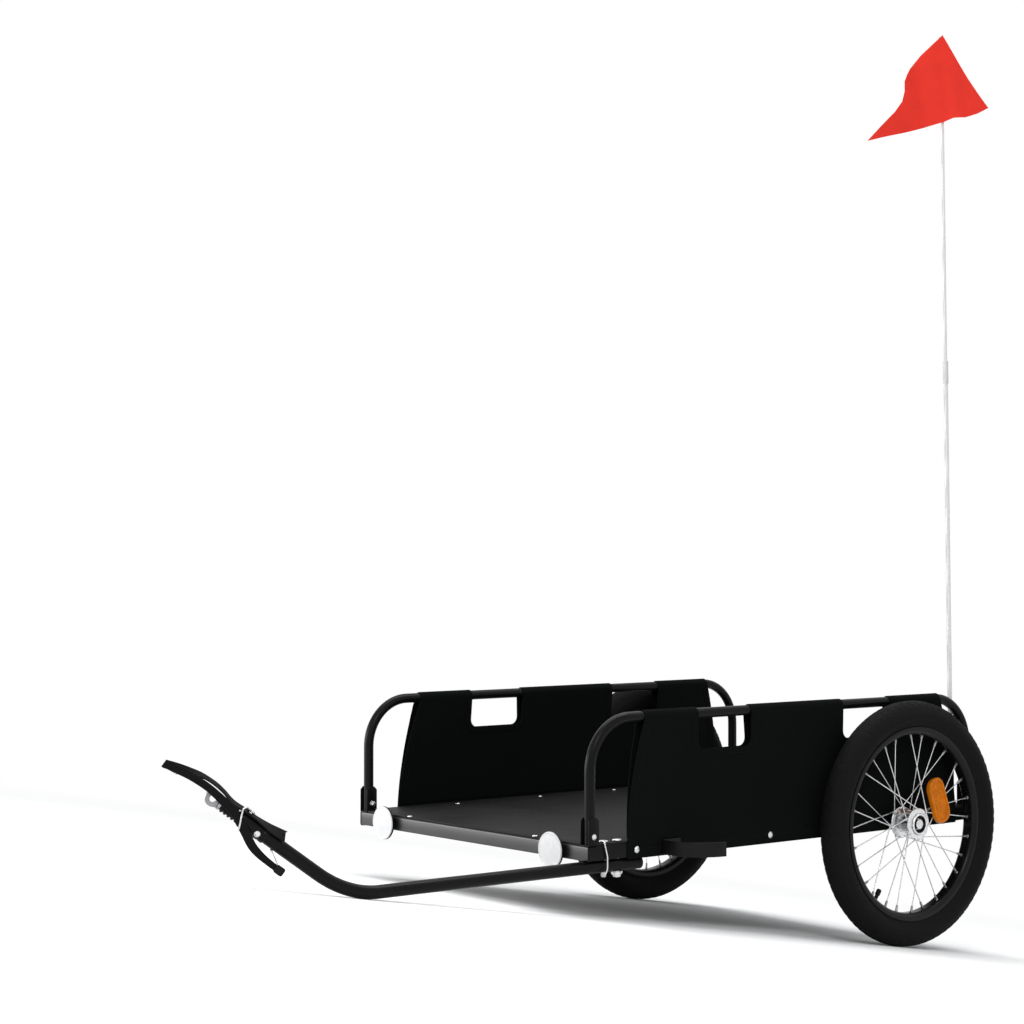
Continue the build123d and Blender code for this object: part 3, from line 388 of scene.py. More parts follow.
TYRE = look("tyre", "tyre_rubber", (0.0066, 0.0064, 0.0064), 0.75, specular=0.08, shade=0.2, cloud=26,
            scuff=0.1, grain=1400, depth=6e-5)
RIM = look("rim_paint", "rim_paint", (0.005, 0.005, 0.0052), 0.28, specular=0.12, shade=0.1, grain=1200,
           depth=1e-5, coat=0.05)
DARK_STEEL = look("steel", "dark_steel", (0.30, 0.30, 0.31), 0.35, metallic=1.0, shade=0.15, cloud=90,
                  scuff=0.1, grain=1800, depth=2e-5)
STEEL = look("steel", "zinc_steel", (0.66, 0.66, 0.67), 0.3, metallic=1.0, cloud=90, scuff=0.1,
             grain=1800, depth=2e-5)
SPOKE = look("steel", "spoke_steel", (0.70, 0.70, 0.71), 0.28, shade=0.1, cloud=120, grain=2500,
             depth=1e-5, **METAL)
ALLOY = look("steel", "hub_alloy", (0.72, 0.73, 0.74), 0.24, shade=0.1, cloud=60, grain=1500, depth=2e-5,
             **METAL)
RUBBER = look("rubber", "moulded_rubber", (0.0065, 0.0065, 0.0065), 0.66, specular=0.12, shade=0.16,
              cloud=40, grain=1100, depth=6e-5)
PLASTIC = look("black_plastic", "black_plastic", (0.005, 0.005, 0.0052), 0.4, specular=0.14, depth=4e-5)
WHITE_LENS = look("white_reflector", "white_reflector", (0.6, 0.6, 0.61), 0.26, specular=0.3,
                  shade=0.04, coat=0.3, **LENS)
RED_LENS = look("red_reflector", "red_reflector", (0.62, 0.02, 0.015), 0.24, shade=0.18, coat=0.7, **LENS)
AMBER_LENS = look("amber_reflector", "amber_reflector", (0.58, 0.155, 0.001), 0.26, specular=0.08,
                  shade=0.16, cloud=60, grain=500, depth=8e-5, coat=0.05)
POLE = look("pole", "pole_fibre", (0.86, 0.855, 0.835), 0.46, specular=0.4, shade=0.05, depth=4e-5,
            threads=1.2, thread_depth=2e-5, fibres="X")
FERRULE = look("pole", "pole_ferrule", (0.70, 0.695, 0.68), 0.4, specular=0.45, shade=0.06, cloud=50,
               depth=4e-5)
FLAG = look("flag_fabric", "flag_nylon", (0.97, 0.045, 0.028), 0.6, specular=0.12, shade=0.07, cloud=22,
            depth=1e-5, threads=0.7, thread_depth=8e-5, turn=-FLAG_HEADING)


# ---- base frame
def base_frame():
    """Four square tubes mitred at their corners, the axle sleeves, two cross tubes and the welds."""
    section = [(u + RAIL / 2, v) for u, v in box_section(RAIL, RAIL, 2.4)]
    for name, x, y, turn, length in (("front", 0, 0, -90, 2 * FACE), ("rear", LENGTH, 0, 90, 2 * FACE),
                                     ("left", LENGTH / 2, -FACE, 0, LENGTH),
                                     ("right", LENGTH / 2, FACE, 180, LENGTH)):
        tube = Form().rows([[(way * (length / 2 - u), u, v) for u, v in section] for way in (-1, 1)],
                           moved(x, y, RAIL_MID) @ turned(turn, "Z"))
        if name in SIDES:
            side = SIDES[name]
            reach = 2 * level_box(name + "_rail")[3].y
            tube.lathe([(8.2, 0), (9, 0.8), (9, reach - 1), (8.2, reach - 0.2), (6.1, reach - 0.2), (6.1, 0)],
                       facing((AXLE_X, side * (FACE - reach), AXLE_Z), (0, side, 0)), 32)
        # The front rail takes the lighter copy of the frame paint: painted reflection.
        piece(name + "_rail_tube", tube, RAIL_PAINTED_REFLECTION if name == "front" else BLACK_PAINT, name + "_rail")

    def below_board(path):
        return [Vector((p.x, p.y, min(p.z, RAIL_TOP - 0.9))) for p in path]
    beads, rng, diagonal = Form(), random.Random(4), sqrt(2)
    for x, sx in ((0, 1), (LENGTH, -1)):
        for sy in (LEFT, RIGHT):
            ring = [(x + sx * (u / diagonal + RAIL / 2), sy * (FACE - u / diagonal - RAIL / 2), RAIL_MID + v)
                    for u, v in box_section(RAIL * diagonal, RAIL, 2.4, 4)]
            path = [p + Vector([rng.uniform(-0.2, 0.2) for _ in range(3)]) for p in dense(ring, 2.2)]
            beads.sweep(below_board(path), disc(0.9, 8), (sx, -sy, 0.01), looped=True)
    piece("corner_welds", beads, BLACK_PAINT, crease=80)
    for name in ("cross_member", "axle_beam"):
        _, _, (x, _, _), (_, half, _) = level_box(name)
        tube = Form().block((RAIL, 2 * half, RAIL), 2.2, moved(x, 0, RAIL_MID), 3)
        for sy in (LEFT, RIGHT):
            path = [Vector((x + u, sy * (half - 0.6), RAIL_MID + v))
                    for u, v in box_section(RAIL + 0.6, RAIL + 0.6, 2.6)]
            tube.sweep(below_board(path), disc(1.1, 8), (0, 1, 0), looped=True)
        piece(name + "_tube", tube, BLACK_PAINT, name)


def board():
    """The floor, notched round the four brackets, and its pan-head screws, with black bars across their heads
    as painted shade for the cross recesses.
    """
    low, high, _, _ = level_box("floor_board")
    notch, beside = 21.0, HOOP_Y - BRACKET_HALF - 1
    outline = []
    for sx, sy in ((-1, -1), (1, -1), (1, 1), (-1, 1)):
        x, inner = (low.x, notch) if sx < 0 else (high.x, LENGTH - notch)
        outline += [(x, sy * beside), (inner, sy * beside), (inner, sy * high.y)][::sx * sy]
    piece("floor_panel", Form().slab(outline, low.z, high.z, 0.6), BOARD, "floor_board")
    heads, recess_shade_bars = Form(), Form()
    places = [(x, y) for x in (6, LENGTH - 6) for y in (-160, 160)]
    for x, y in places + [(x, y) for x in (181, 362, 534, 716) for y in (-262.5, 262.5)]:
        spot = moved(x, y, BOARD_TOP)
        heads.rod([(4.2, 0), (4.2, 0.665), (3.612, 1.368), (2.31, 1.805)], 1.9, spot, 20)
        # Black bars standing on each head: painted shade where the cross recess would be.
        for turn in (0, 90):
            recess_shade_bars.block((4.2, 1.008, 0.25), 0.05, spot @ turned(turn, "Z") @ moved(z=1.85), 1)
    piece("floor_screws", heads, STEEL, crease=60)
    piece("floor_screw_painted_recess_shade", recess_shade_bars, BLACK_PAINT)


# ---- hoops and their brackets
UPRIGHT = turned(90, "X")


def hoops():
    for name, side in SIDES.items():
        y = side * HOOP_Y
        path = rounded([(LEG_FRONT, y, HOOP_FOOT), (LEG_FRONT, y, HOOP_Z), (LEG_REAR, y, HOOP_Z),
                        (LEG_REAR, y, HOOP_FOOT)], HOOP_BEND, 4)
        piece(f"{name}_hoop_tube", Form().sweep(path, disc(HOOP_R, 32), (0, 1, 0)), BLACK_PAINT,
              f"{name}_hoop")
        for end, x in (("front", LEG_FRONT), ("rear", LEG_REAR)):
            holder(f"{end}_{name}_bracket", x, side)


def holder(name, x, side):
    """A folded channel with chamfered cheeks, and a bolt through its cheeks and the leg."""
    low, _, _, (long, half, tall) = level_box(name)
    wall, tall = 1.6, 2 * tall
    plate, bolt = Form(), Form()
    cheek = [(-long, 0), (long, 0), (long, tall - 5), (long - 5, tall), (5 - long, tall), (-long, tall - 5)]
    for way in (-1, 1):
        spot = moved(x, side * HOOP_Y + way * (half - wall / 2), low.z) @ UPRIGHT
        plate.slab(cheek, -wall / 2, wall / 2, 0.4, spot)
    plate.block((2 * long, 2 * half, wall), 0.4, moved(x, side * HOOP_Y, low.z + wall / 2))
    piece(name + "_plate", plate, BLACK_PAINT, name)
    for way in (side, -side):
        seat = facing((x, side * HOOP_Y + way * half, RAIL_TOP + 14), (0, way, 0))
        bolt.rod([(4.3, 0), (4.3, 0.7), (4, 1.0)], 1.0, seat, 24)
        if way == side:
            bolt.rod([(3.5, 1), (3.4, 1.7), (2.7, 2.6), (1.4, 3.1)], 3.2, seat, 24)
        else:
            bolt.slab(disc(4.4, 6), 1, 4.6, 0.35, seat)
            bolt.rod([(2.4, 4), (2.4, 6), (2.0, 6.5)], 6.5, seat, 16)
    piece(name + "_bolt", bolt, STEEL, crease=50)


# ---- side panels
RISE = HOOP_Z - PANEL_LOW            # up the cloth from its hem to the hoop's middle
OVER = RISE + pi * SLEEVE_R     # ... and on over the hoop
SKIN = PANEL_OUT - CLOTH / 2
FOOT_Y = SKIN - CLOTH - 0.1
SLANT = hypot(HOOP_Z - INNER_FOOT, FOOT_Y - HOOP_Y + SLEEVE_R)


def panel_edge(end, s):
    """Where the cloth's front or rear edge lies along the trailer, at a distance up the cloth."""
    low = (PANEL_LOW_FRONT, LENGTH - PANEL_LOW_REAR)[end]
    top = (PANEL_TOP_FRONT, LENGTH - PANEL_TOP_REAR)[end]
    t = min(1.0, s / RISE) if s < OVER else 1 - (s - OVER) / RISE
    return low + (top - low) * t + (1 if end else -1) * EDGE_BOW * 4 * t * (1 - t)


def panel_outline():
    """The cut cloth: X along the trailer, Y up it from its hem, over the hoop and down inside."""
    heights = ([RISE * i / 12 for i in range(13)] + [RISE + (OVER - RISE) * i / 4 for i in range(1, 5)]
               + [OVER + SLANT * i / 10 for i in range(1, 11)])
    return [(panel_edge(0, s), s) for s in heights] + [(panel_edge(1, s), s) for s in heights[::-1]]


def handle_holes():
    """The two hand openings, which go through both layers and over the hoop."""
    low, high = RISE - HANDLE_DEPTH, OVER + HANDLE_DEPTH
    shape = box_section(HANDLE_RUN, high - low, HANDLE_ROUND, 6)
    return [[(a + HANDLE_RUN / 2 + x, (low + high) / 2 + y) for x, y in shape]
            for a in (HANDLE_FRONT, LENGTH - HANDLE_REAR - HANDLE_RUN)]


def on_panel(x, s, side, lift=0.0):
    """Where a point of the cut cloth lies: (x, distance up from the hem), lifted off its face."""
    around = share((s - RISE) / (OVER - RISE))
    z = PANEL_LOW + s if s <= RISE else HOOP_Z - (s - OVER) / SLANT * (HOOP_Z - INNER_FOOT)
    free = share((z - RAIL_TOP - 14) / 60) * share((HOOP_Z - 6 - z) / 40)
    fold = noise.noise(Vector((x / 90 + side * 7, z / 260, 0.3 + 5 * around)))
    fold += 0.5 * noise.noise(Vector((x / 34, z / 120, 2.1 + side + 3 * around)))
    if s <= RISE:
        return Vector((x, side * (SKIN - free * (0.9 + 1.3 * fold) + lift), z))
    if s < OVER:
        a, r = (s - RISE) / SLEEVE_R, SLEEVE_R + lift
        return Vector((x, side * (HOOP_Y + r * cos(a)), HOOP_Z + r * sin(a)))
    down = (s - OVER) / SLANT
    y = (HOOP_Y - SLEEVE_R) * (1 - down) + FOOT_Y * down
    return Vector((x, side * (y + free * (0.5 + 1.1 * fold) - lift), z))


def within(p, ring):
    """Whether a flat point lies inside a ring."""
    hit = False
    for a, b in zip(ring, ring[1:] + ring[:1]):
        if (a[1] > p[1]) != (b[1] > p[1]) and p[0] < a[0] + (b[0] - a[0]) * (p[1] - a[1]) / (b[1] - a[1]):
            hit = not hit
    return hit


def triangles(points, rings, open_at):
    """Triangles that fill the first ring, without those whose middles lie in an opening."""
    loops, start = [], 0
    for ring in rings:
        loops.append(list(range(start, start + len(ring))))
        start += len(ring)
    found = delaunay_2d_cdt(points, [], loops, 1, 1e-4)
    middles = [sum((found[0][i] for i in face), Vector((0, 0))) / len(face) for face in found[2]]
    return found[0], [face for face, middle in zip(found[2], middles) if not open_at(middle)]


def cloth(outline, spacing, heights, holes=()):
    """Fills the outline around its holes, with points inside it in rows at the heights."""
    edge_gap, cell, clear = 7, 4, 1.6
    rings = [dense(ring, edge_gap) for ring in (outline, *holes)]
    points = [p for ring in rings for p in ring]

    def open_at(p):
        return any(within(p, hole) for hole in holes)
    first, wide, cells = min(p[0] for p in outline), spread(outline)[0], {}
    for p in points:
        cells.setdefault((int(p.x // cell), int(p.y // cell)), []).append(p)
    n = max(1, round(wide / spacing))
    for y in heights:
        for p in [Vector((first + wide * i / n, y)) for i in range(1, n)]:
            a, b = int(p.x // cell), int(p.y // cell)
            around = [q for i in (-1, 0, 1) for j in (-1, 0, 1) for q in cells.get((a + i, b + j), [])]
            if within(p, outline) and not open_at(p) and all((p - q).length > clear for q in around):
                points.append(p)
    return triangles(points, rings, open_at)


def sheet_form(points, faces, at, thick):
    """A closed thin cloth: the skin moved out and in by half its thickness, joined round its edge."""
    n, borders = len(points), {}
    for f in faces:
        for a, b in zip(f, list(f[1:]) + [f[0]]):
            key = (min(a, b), max(a, b))
            borders[key] = None if key in borders else (a, b)
    skin = [tuple(f) for f in faces] + [tuple(i + n for i in f)[::-1] for f in faces]
    skin += [(b, a, a + n, b + n) for v in borders.values() if v for a, b in [v]]
    return Form().shell([at(p, off) for off in (thick / 2, -thick / 2) for p in points], skin)


def inset_path(points, by):
    """A path moved to its left by a distance."""
    shifted = []
    for i, p in enumerate(points):
        way = (points[min(len(points) - 1, i + 1)] - points[max(0, i - 1)]).normalized()
        shifted.append(p + Vector((-way.y, way.x)) * by)
    return shifted


def panels():
    outline, holes = panel_outline(), handle_holes()
    gap, row_gap, bent_row_gap = 10, 12, 2.1
    heights, y = [], min(s for _, s in outline) + gap
    while y < max(s for _, s in outline) - 1:
        heights.append(y)
        y += bent_row_gap if RISE - 8 < y < OVER + 6 else row_gap
    points, faces = cloth(outline, gap, heights, holes)
    for name, side in SIDES.items():
        body = sheet_form(points, faces, lambda p, off: on_panel(p.x, p.y, side, off), CLOTH)
        skin = piece(f"{name}_panel_cloth", body, FABRIC, f"{name}_side_panel", crease=70)
        hems, stitches = Form(), Form()
        for run, inset, width in panel_runs():
            middle = inset_path(run, -inset)
            ribbon(hems, middle, width, side, 0.45)
            for p, way in spaced(inset_path(middle, 1.6 - width / 2), 4.2):
                a, b = (on_panel(*(p + way * u), side, 1.15) for u in (-1.35, 1.35))
                dip = Vector((0, -side * 0.55, 0))
                stitches.sweep([a + dip, a.lerp(b, 0.2), a.lerp(b, 0.8), b + dip], disc(0.36, 5),
                               (0, side, 0.02))
        hem = piece(f"{name}_panel_hem", hems, FABRIC, crease=60)
        seam = piece(f"{name}_panel_stitches", stitches, SEAM, crease=80)
        spread(outline)[0] / 1000
        heads = Form()
        for x in (94, 374, LENGTH - 74):
            heads.rod([(5.1, 0), (5.1, 0.4), (4.4, 0.8), (3.9, 1.5), (2.6, 2.2)], 2.5,
                      facing((x, side * (PANEL_OUT + 0.3), RAIL_MID), (0, side, 0)), 24)
        piece(f"{name}_panel_screws", heads, STEEL, crease=50)


def panel_runs():
    """The edges that carry a hem: each a path with the cloth on its right, an inset and a width."""
    out = [RISE * (0.02 + 0.95 * i / 12) for i in range(13)]
    back = [OVER + SLANT * (0.04 + 0.93 * i / 10) for i in range(11)]
    runs = []
    for heights in (out, back):
        for end, way in ((0, 1), (1, -1)):
            runs.append(([Vector((panel_edge(end, s), s)) for s in heights[::way]], 7, 13))
    a, b = PANEL_LOW_FRONT + 14, LENGTH - PANEL_LOW_REAR - 14
    runs.append(([Vector((b + (a - b) * i / 40, 0)) for i in range(41)], 8, 15))
    for hole in handle_holes():
        for keep, limit in ((lambda y: y < RISE - 6, RISE - 2), (lambda y: y > OVER + 6, OVER + 2)):
            part = [Vector(p) for p in hole if keep(p[1])]
            jump = max(range(len(part)), key=lambda i: (part[i] - part[i - 1]).length)
            part = part[jump:] + part[:jump]
            runs.append(([Vector((part[0].x, limit)), *part, Vector((part[-1].x, limit))], 5.5, 10))
    return runs


def ribbon(made, path, width, side, thick):
    """A folded hem: a low strip with soft edges that follows the cloth."""
    fine, rows = dense(path, 8, closed=False), []
    for a, b in zip(inset_path(fine, width / 2), inset_path(fine, -width / 2)):
        rows.append([on_panel(*a.lerp(b, t), side, CLOTH / 2 + lift) for t, lift in (
            (0.0, -0.3), (0.0, 0.12), (0.06, thick), (0.94, thick), (1.0, 0.12), (1.0, -0.3))])
    made.rows(rows)


# ---- deflectors ahead of the wheels
def deflectors():
    """A bent plastic band with a foot riveted to the panel's face."""
    front, face = BAND_X + BAND_THICK / 2, BAND_IN + BAND_THICK / 2
    straight = BAND_OUT - BAND_THICK / 2 - BAND_RADIUS
    line = [(front + BAND_FOOT, face)]
    for i in range(6):
        t = pi / 2 * i / 6
        line.append((front + 3 - 3 * sin(t), face + 3 - 3 * cos(t)))
    line.append((front, face + 3))
    for i in range(19):
        t = pi / 2 * i / 18
        line.append((front + BAND_RADIUS * (1 - cos(t)), straight + BAND_RADIUS * sin(t)))
    for name, side in SIDES.items():
        band = Form().sweep([(x, side * y, (BAND_LOW + BAND_TOP) / 2) for x, y in line],
                            box_section(BAND_THICK, BAND_TOP - BAND_LOW, 1.0))
        piece(f"{name}_deflector_band", band, PLASTIC, f"{name}_deflector")
        rivets = Form()
        for x in (front + 12, front + 27):
            rivets.rod([(4.6, 0), (4.4, 0.9), (3.0, 1.9)], 2.4,
                       facing((x, side * (BAND_IN + BAND_THICK), RAIL_MID), (0, side, 0)), 20)
        piece(f"{name}_deflector_rivets", rivets, STEEL, crease=60)


# ---- tow arm and its pins
def tow_arm():
    path = rounded([(ARM_REAR, -ARM_Y, ARM_Z), ARM_CORNER, ARM_TIP], ARM_BEND, 2.5)
    piece("tow_arm_tube", Form().sweep(path, disc(ARM_R, 40)), BLACK_PAINT, "tow_arm")
    plug = Form().rod([(ARM_R + 0.3, -0.5), (ARM_R + 0.3, 0.8), (ARM_R - 1, 1.8)], 2.2,
                      facing((ARM_REAR, -ARM_Y, ARM_Z), (1, 0, 0), (0, 1, 0)), 32)
    piece("tow_arm_plug", plug, PLASTIC, crease=50)


def headed(x, end):
    """A pin from its head on the board down through rail and arm to its end."""
    seat, top = BOARD_TOP + 0.3, BOARD_TOP + 3
    return Form().rod([(PIN_R - 1.2, end), (PIN_R, end + 1.4), (PIN_R, seat), (HEAD_R - 0.5, seat),
                       (HEAD_R, seat + 0.5), (HEAD_R, top - 0.9), (HEAD_R - 0.8, top - 0.1)], top,
                      moved(x, -ARM_Y), 28)


def pins():
    end, out = ARM_Z - ARM_R - 7, -(FACE + 2.5)
    upper, lower = BOARD_TOP + 3 - BAIL_R, end + 2 * BAIL_R
    bail = rounded([(LOCK_X - 1, -ARM_Y - 4, upper), (LOCK_X - 10, out, upper),
                    (LOCK_X - 4.5, out - 0.6, 196), (LOCK_X - 4.5, out - 0.6, 174),
                    (LOCK_X - 13, out, lower), (LOCK_X - 2, -ARM_Y, lower)], [5, 14, 16, 5], 8)
    piece("lock_pin_bail", headed(LOCK_X, end).sweep(bail, disc(BAIL_R, 10), (1, 0, 0)), STEEL, "lock_pin",
          crease=50)
    top = ARM_Z - ARM_R - 0.3
    bolt = headed(BOLT_X, top - 9)
    bolt.lathe([(4.1, top), (7.6, top), (7.6, top - 1), (6.4, top - 1.6), (5.6, top - 8), (4.1, top - 8)],
               moved(BOLT_X, -ARM_Y), 28)
    for way in (-1, 1):
        wing = [(0, 0), (0, 7.5), (way * 5, 7.2), (way * 10.2, 3.2), (way * 11, 0.4), (way * 9.2, -0.4),
                (way * 5.6, 1.6)]
        bolt.slab(wing, -1.25, 1.25, 0.5, moved(BOLT_X, -ARM_Y, top - 0.4) @ turned(-90, "X"))
    piece("pivot_bolt_wing_nut", bolt, STEEL, "pivot_bolt", crease=50)


# ---- coupler at the arm's tip: X along the arm, Y across it to the trailer's left, Z up
TIP_ALONG = (ARM_TIP - ARM_CORNER).normalized()
TIP_ACROSS = Vector((0, 0, 1)).cross(TIP_ALONG).normalized()
TIP = (Matrix.Translation(ARM_TIP)
       @ Matrix((TIP_ALONG, TIP_ACROSS, TIP_ALONG.cross(TIP_ACROSS))).transposed().to_4x4())
ON_TIP = TIP @ turned(90, "Y")       # own Z along the arm
STRAP_Y = SOCKET_R + 1.3             # the strap's plane beside the socket
STRAP_NOSE = EYE_START + 14 + EYE_R + 71


def coupler():
    a, b, r = SOCKET_START, SOCKET_END, SOCKET_R
    sleeve = Form().lathe([
        (ARM_R + 0.1, a), (r - 0.8, a), (r, a + 0.8), (r, a + 6), (r - 0.5, a + 6.6), (r - 0.5, a + 8.4),
        (r, a + 9), (r, b - 3), (r - 1.6, b), (6.1, b), (6.1, 0.1), (ARM_R + 0.1, 0)], ON_TIP, 40)
    piece("coupler_sleeve", sleeve, BLACK_PAINT, "coupler_socket", crease=50)
    start, pitch, r = SOCKET_END + 0.3, RUBBER_LENGTH / RUBBER_RIBS, RUBBER_R
    profile = [(6, 0.3), (6, start)]
    for z in [start + pitch * i for i in range(RUBBER_RIBS)]:
        profile += [(r - 1, z), (r, z + 0.9), (r, z + pitch * 0.5 - 0.3), (r - 1, z + pitch * 0.5 + 0.4),
                    (r - 2, z + pitch * 0.6), (r - 2, z + pitch * 0.95)]
    end = start + RUBBER_LENGTH
    piece("coupler_rubber", Form().rod(profile + [(r - 1, end)], end, ON_TIP, 36), RUBBER, "coupler_joint",
          crease=60)
    eye()
    place, out = TIP @ moved(COUPLER_PIN_S), SOCKET_R + 3.85
    top, tail, wire = SOCKET_R + 6.6, SOCKET_R + 4.5, BAIL_R
    pin = Form().rod([(2, -tail), (COUPLER_PIN_R, 1.2 - tail), (COUPLER_PIN_R, top - 3), (5.2, top - 3),
                      (5.75, top - 2.4), (5.75, top - 0.8), (4.8, top)], top, place, 24)
    bail = rounded([(0, 3, top - wire), (12, out - 1, top - wire), (14, out, SOCKET_R), (9, out + 0.6, 0),
                    (2, out, wire - tail), (0, 2, wire - tail)], [4, 3, 9, 9, 4], 8)
    piece("coupler_quick_pin", pin.sweep(bail, disc(wire, 10), (1, 0, 0), place), STEEL, "coupler_pin",
          crease=50)
    r = SOCKET_R
    rivet = Form().rod([(4.4, r - 0.6), (4.4, r + 0.2), (3.6, r + 0.9), (2.2, r + 1.3)], r + 1.4,
                       TIP @ moved(1.7) @ turned(-112, "X"), 20)
    piece("coupler_rivet", rivet, STEEL, crease=60)


def eye():
    """The flat eye: a turned collar, a shank that thins to a plate, and a bored round end."""
    start, r, centre = EYE_START, RUBBER_R, EYE_START + 14
    outline = [(centre + EYE_R * cos(t), EYE_R * sin(t))
               for t in [radians(-125 + 250 * i / 24) for i in range(25)]]
    outline += [(start + 3, r - 1.5), (start + 3, 1.5 - r)]
    bore = [(centre + x, y) for x, y in disc(EYE_BORE, 24)]
    points, faces = triangles([Vector(p) for p in outline + bore], [outline, bore],
                              lambda p: (p - Vector((centre, 0))).length <= 0.97 * EYE_BORE)
    place = TIP @ UPRIGHT
    plate = sheet_form(points, faces, lambda p, off: place @ Vector((p.x, p.y, off)), EYE_THICK)
    plate.rod([(r - 0.8, start), (r, start + 0.8), (r, start + 3.2), (r - 1.2, start + 4.2)], start + 4.4,
              ON_TIP, 36)
    piece("coupler_eye_plate", plate, DARK_STEEL, "coupler_eye", crease=50)


def smooth(stations, steps=7):
    """Rows of numbers on a smooth line through the given rows."""
    rows, found = [stations[0], *stations, stations[-1]], []
    for a, b, c, d in zip(rows, rows[1:], rows[2:], rows[3:]):
        for i in range(steps):
            t = i / steps
            found.append([
                q + 0.5 * t * (r - p + t * (2 * p - 5 * q + 4 * r - w + t * (3 * q - p - 3 * r + w)))
                for p, q, r, w in zip(a, b, c, d)])
    return found + [list(stations[-1])]


def strap():
    """Webbing over the arm that turns on edge, folds at the nose and comes back down the arm's side."""
    level, beside, thick, nose = STRAP_Y, STRAP_Y, 2.0, STRAP_NOSE
    # along the arm, across it, above it, turn of the width, width
    stations = [
        (-34, 3.5, level + 3.0, -42, 20), (-22, 3, level + 1.2, -38, 20), (-8, 2.2, level, -28, 20),
        (12, 1.2, level + 0.1, -14, 20), (30, 1, level + 0.1, -14, 20), (46, 1, level - 0.9, -20, 16),
        (57, 1, level + 0.3, -22, 14), (68, 1, level + 3.1, -22, 13), (82, 1.4, level + 5, -22, 13),
        (96, 2.2, level + 5, -23, 12.5), (110, 3.6, level + 3.2, -30, 12.5), (126, 6, level - 2.2, -54, 13),
        (142, 9.2, 5, -80, 12.5), (152, 10.1, 1.8, -90, 12), (nose - 1.4, 10.1, 0.2, -90, 11.5),
        (nose, beside - 1.1, 0, -90, 11.5), (nose - 1.4, beside, 0.2, -90, 11.5)]
    stations += [(s, beside, t, -90, wide) for s, t, wide in (
        (152, 1.7, 11.5), (138, 4, 11.2), (118, 6.8, 10.6), (92, 7.8, 10.5), (68, 5.4, 11.5), (45, 1.8, 12.4),
        (20, -9.5, 12.6), (1, -19.5, 12), (-13, -23.5, 11), (-28, -25.2, 9.6), (-47, -26, 8.6))]
    points, rows = smooth(stations), []
    section = [(-0.5, 0)] + [(-0.47 + 0.94 * k / 10, 0.5) for k in range(11)]
    section += [(0.5, 0)] + [(0.47 - 0.94 * k / 10, -0.5) for k in range(11)]
    for i, (s, y, t, turn, wide) in enumerate(points):
        a, b = points[max(0, i - 1)], points[min(len(points) - 1, i + 1)]
        along = Vector((b[0] - a[0], b[1] - a[1], b[2] - a[2])).normalized()
        flat = Vector((0, cos(radians(turn)), sin(radians(turn))))
        flat = (flat - along * flat.dot(along)).normalized()
        up = along.cross(flat)
        notch = 6 * max(0.0, 1 - i / 5)
        rows.append([Vector((s + notch * (1 - 2 * abs(u)), y, t)) + flat * (u * wide) + up * (v * thick)
                     for u, v in section])
    piece("strap_webbing", Form().rows(rows, TIP), WEBBING, "safety_strap", crease=50)
    thread, out = Form(), Vector((0, 1, 0))
    box = [Vector((nose + s, beside + 1.05, t)) for s, t in ((-5, -4), (-5, 4), (-22, 6), (-22, -2))]
    for run in (box + box[:1], box[::2], box[1::2]):
        for p, way in spaced(run, 3.0):
            thread.sweep([p - way * 1.1 - out * 0.5, p - way * 0.7, p + way * 0.7, p + way * 1.1 - out * 0.5],
                         disc(0.3, 5), (0, 1, 0.02), TIP)
    piece("strap_stitches", thread, ("webbing", SEAM[1]), crease=80)


def strap_hook():
    """A moulded hook closed by a wire that hangs from the arm."""
    outline = [(-61, -4), (-59, -6), (-50, -6), (-47.4, -4.6), (-47.4, 4.6), (-50, 6), (-59, 6), (-61, 4)]
    piece("strap_hook_body", Form().slab(outline, -3, 3, 0.9, TIP @ moved(3, STRAP_Y, -26) @ UPRIGHT),
          PLASTIC, "strap_hook", crease=50)
    wire = Form().sweep([(-54, STRAP_Y - 3, -26), (-48, STRAP_Y - 5, -22.5), (-40, STRAP_Y - 8, -17),
                         (-33, 1.5, -12.5), (-29, 0, -ARM_R - 1.2)], disc(1.0, 10), (0, 1, 0), TIP)
    wire.rod([(2, 0), (2.8, 0.8), (2.8, 2.2), (2, 3)], 3.4, TIP @ moved(-29, 0, -ARM_R - 3.2), 16)
    piece("strap_hook_wire", wire, STEEL, crease=60)


# ---- reflectors on the frame
def frame_reflectors():
    seat, face = STEM, STEM + BACK_THICK
    for end, x, way, glass in (("front", 0, -1, WHITE_LENS), ("rear", LENGTH, 1, RED_LENS)):
        for name, side in SIDES.items():
            disc_node = f"{end}_{name}_reflector"
            spot = facing((x, side * (FACE - LENS_INSET), RAIL_MID), (way, 0, 0), (0, 0, 1))
            back = Form().rod([(STEM_R - 0.6, 0), (STEM_R, 0.6), (STEM_R, seat - 1), (STEM_R + 1.5, seat),
                               (BACK_R - 0.8, seat), (BACK_R, seat + 0.8), (BACK_R, face)], face, spot, 56)
            piece(f"{disc_node}_housing", back, PLASTIC, f"{disc_node}_base", crease=50)
            lens = Form().rod([(LENS_R, face), (LENS_R, face + 0.6), (LENS_R - 0.5, face + 1.3),
                               (LENS_R - 1.3, face + 2.1), (LENS_R - 2.1, face + 1.9),
                               (LENS_R - 2.5, face + 1.5), (22, face + 1.8), (16, face + 2.1),
                               (9, face + 2.35)], face + LENS_THICK, spot, 64)
            piece(f"{disc_node}_lens", lens, glass, disc_node, crease=70)


# ---- flag
FOOT = moved(LENGTH - POLE_FROM_REAR, POLE_INSET - FACE, BOARD_TOP) @ turned(-POLE_LEAN, "Y")


